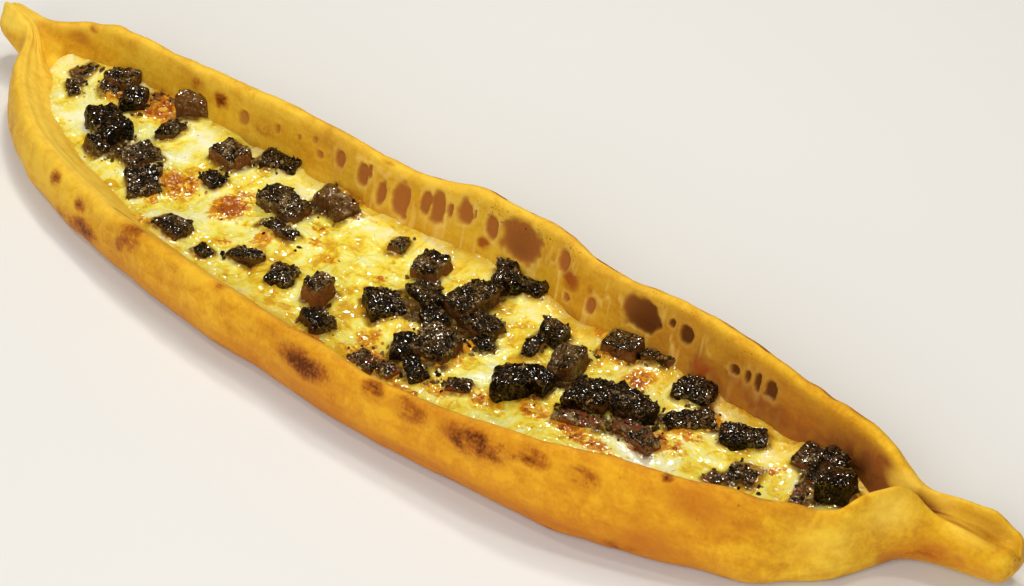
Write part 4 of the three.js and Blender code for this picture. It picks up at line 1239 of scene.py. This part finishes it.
def scatterTree():
    # small uneven balls on the painted parts of a surface, turned, sized and sunk a little at random
    tree = bpy.data.node_groups.new("scatterOnPaint", "GeometryNodeTree")
    kinds = {"Geometry": "Surface", "String": "Paint",
             "Float": "Density Smallest Largest Flatness Ruggedness Tilt Sink",
             "Int": "Segments Rings Seed", "Material": "Look"}
    for kind, names in kinds.items():
        for name in names.split():
            tree.interface.new_socket(name=name, in_out="INPUT", socket_type=f"NodeSocket{kind}")
    tree.interface.new_socket(name="Grains", in_out="OUTPUT", socket_type="NodeSocketGeometry")
    given = tree.nodes.new("NodeGroupInput").outputs

    def step(kind, output, inputs, **settings):
        return addNode(tree, kind, inputs, **settings).outputs[output]

    def combined(x, y, z):
        return step("ShaderNodeCombineXYZ", "Vector", {"X": x, "Y": y, "Z": z})

    def randomValue(kind, low, high, seed):
        made = addNode(tree, "FunctionNodeRandomValue", {"Seed": seed}, data_type=kind)
        lowSocket, highSocket = [k for k, socket in enumerate(made.inputs) if socket.enabled][:2]
        feed(made, {lowSocket: low, highSocket: high})
        return next(socket for socket in made.outputs if socket.enabled)

    painted = step("GeometryNodeInputNamedAttribute", "Attribute", {"Name": given["Paint"]},
                   data_type="FLOAT")
    spots = addNode(tree, "GeometryNodeDistributePointsOnFaces",
                    {"Mesh": given["Surface"], "Density": times(painted, given["Density"]),
                     "Seed": given["Seed"]}).outputs
    inward = vectorMath("SCALE", spots["Normal"], times(given["Sink"], -1))
    sunk = step("GeometryNodeSetPosition", "Geometry", {"Geometry": spots["Points"], "Offset": inward})

    # one grain: a small ball, dented and flattened
    ball = step("GeometryNodeMeshUVSphere", "Mesh",
                {"Segments": given["Segments"], "Rings": given["Rings"], "Radius": 1.0})
    dents = step("ShaderNodeTexNoise", "Color", {"Scale": 1.15, "Detail": 2.0})
    dented = step("GeometryNodeSetPosition", "Geometry",
                  {"Geometry": ball, "Offset": pushFrom(dents, given["Ruggedness"])})
    grain = step("GeometryNodeTransform", "Geometry",
                 {"Geometry": dented, "Scale": combined(1.0, 1.0, given["Flatness"])})

    size = vectorMath("SCALE", randomValue("FLOAT_VECTOR", (0.7, 0.55, 0.6), (1.9, 1.2, 1.1), 2),
                      randomValue("FLOAT", given["Smallest"], given["Largest"], 1))
    backTilt = times(given["Tilt"], -1)
    turn = randomValue("FLOAT_VECTOR", combined(backTilt, backTilt, -math.pi),
                       combined(given["Tilt"], given["Tilt"], math.pi), 3)
    turned = step("FunctionNodeRotateRotation", "Rotation",
                  {"Rotation": spots["Rotation"], "Rotate By": turn}, rotation_space="LOCAL")
    grains = step("GeometryNodeInstanceOnPoints", "Instances",
                  {"Points": sunk, "Instance": grain, "Rotation": turned, "Scale": size})
    grains = step("GeometryNodeStoreNamedAttribute", "Geometry",
                  {"Geometry": grains, "Name": "tint", "Value": randomValue("FLOAT", 0.0, 1.0, 4)},
                  data_type="FLOAT", domain="INSTANCE")
    grains = step("GeometryNodeRealizeInstances", "Geometry", {"Geometry": grains})
    grains = step("GeometryNodeSetMaterial", "Geometry", {"Geometry": grains, "Material": given["Look"]})
    feed(tree.nodes.new("NodeGroupOutput"), {"Grains": grains})
    return tree


def scatterGrains(name, ground, look, slotName):
    # the grains become one plain mesh
    settings = dict(scatterSettings[name], Look=look)
    settings["Density"] = settings["Density"] / mm ** 2
    for length in ("Smallest", "Largest", "Sink"):
        settings[length] = settings[length] * mm
    holder = addToScene(name + "Ground", ground)
    scatter = holder.modifiers.new("scatter", "NODES")
    scatter.node_group = grainTree
    for socket in grainTree.interface.items_tree:
        if socket.in_out == "INPUT" and socket.name in settings:
            scatter[socket.identifier] = settings[socket.name]
    holder.update_tag()
    mesh = plainMesh(holder, name)
    piece = addObject(name, mesh, look)
    if slotName == "meat":
        mesh.shade_flat()
    finishPiece(piece, slotName)
    print("pide:", name, len(mesh.polygons), "faces")


def joinedGround(pieces):
    # one mesh of all meat pieces with their painted crumb places
    points, faces, amounts, start = [], [], [], 0
    for data in (piece.data for piece in pieces):
        points.append(readNumbers(data.vertices, "co", 3))
        faces.append(readNumbers(data.loops, "vertex_index", kind=np.int32).reshape(-1, 4) + start)
        amounts.append(readNumbers(data.attributes["scatter"].data, "value", kind=np.float32))
        start += len(data.vertices)
    mesh = bpy.data.meshes.new("meatGround")
    mesh.from_pydata(np.concatenate(points).tolist(), [], np.concatenate(faces).tolist())
    paintAll(mesh, {"scatter": np.concatenate(amounts)})
    return mesh


def grainMaterial(name):
    material, tree, shader = newMaterial(name)
    speck = spread(objectNoise(tree, 0.6, 2), 0.3, 0.7, -0.15, 0.15)
    tint = plus(readPaint(tree, "tint"), speck, clamp=True)
    feed(shader, {"Base Color": rampColour(tint, grainLooks[name]["tones"]), "Coat Roughness": 0.08})
    feed(shader, grainLooks[name]["surface"])
    return material


grainTree = scatterTree()
crumbLook = grainMaterial("roastCrumb")
scatterGrains("roastGrains", joinedGround(meatPiecesMade), crumbLook, "meat")
scatterGrains("fallenCrumbs", cheesePiece.data.copy(), crumbLook, "meat")
scatterGrains("oilPearls", cheesePiece.data.copy(), grainMaterial("oilPearl"), "cheese")
scatterGrains("brownBlisters", cheesePiece.data.copy(), grainMaterial("brownBlister"), "cheese")


# Floor, light and camera

stageSettings = {
    "floorSize": 3.0,
    "floorLevel": -0.3,
    "floorColour": (0.78, 0.77, 0.75, 1),
    "azimuth": 41.4,
    "elevation": 36,
    "distance": 0.9,
    "aim": (0.0266, 0.029, 0.010),
    "lens": 101.36,
    "sensorWidth": 36,
    "clipStart": 0.05,
    "roomBrightness": 0.2,
}

# area lights: place, size, power in watts, colour, and whether glossy surfaces mirror them
lights = {
    "overheadSoftbox": ((-0.18, 0.3, 1.05), 0.4, 2.6, (1, 1, 1), False),
    "glintLamp": ((-0.3, 0.5, 0.95), 0.12, 3.2, (1, 0.93, 0.8), True),
    "rightGlint": ((0.35, 0.3, 0.95), 0.1, 1.4, (1, 0.93, 0.8), True),
    "leftGlint": ((-0.5, -0.3, 0.85), 0.1, 1.3, (1, 0.93, 0.8), True),
    "frontFill": ((0.45, -0.9, 0.62), 0.8, 9.5, (1, 1, 1), False),
}


def makeFloor():
    half, level = stageSettings["floorSize"] / 2, stageSettings["floorLevel"] * mm
    mesh = bpy.data.meshes.new("paleFloor")
    corners = [(-half, -half, level), (half, -half, level), (half, half, level), (-half, half, level)]
    mesh.from_pydata(corners, [], [(0, 1, 2, 3)])
    material, _, shader = newMaterial("paleFloor")
    feed(shader, {"Base Color": stageSettings["floorColour"], "Roughness": 0.8})
    floor = addObject("paleFloor", mesh, material)


def makeLights():
    for name, (place, size, power, colour, mirrored) in lights.items():
        data = bpy.data.lights.new(name, "AREA")
        data.size = size
        data.energy = power
        data.color = colour
        light = addToScene(name, data)
        light.location = place
        light.rotation_euler = (-Vector(place)).to_track_quat("-Z", "Y").to_euler()
        light.visible_glossy = mirrored
    world = bpy.data.worlds.new("softRoom")
    bpy.context.scene.world = world
    world.use_nodes = True
    feed(world.node_tree.nodes["Background"],
         {"Color": (1, 1, 1, 1), "Strength": stageSettings["roomBrightness"]})
    world.cycles_visibility.glossy = False


def makeCamera():
    azimuth = math.radians(stageSettings["azimuth"])
    elevation = math.radians(stageSettings["elevation"])
    level = math.cos(elevation)
    back = Vector((math.sin(azimuth) * level, -math.cos(azimuth) * level, math.sin(elevation)))
    data = bpy.data.cameras.new("photoCamera")
    data.lens = stageSettings["lens"]
    data.sensor_width = stageSettings["sensorWidth"]
    data.clip_start = stageSettings["clipStart"]
    camera = addToScene("photoCamera", data)
    camera.location = Vector(stageSettings["aim"]) + back * stageSettings["distance"]
    camera.rotation_euler = (-back).to_track_quat("-Z", "Y").to_euler()
    bpy.context.scene.camera = camera


makeFloor()
makeLights()
makeCamera()
bpy.context.scene.view_settings.view_transform = "Standard"
print("pide: stage set")
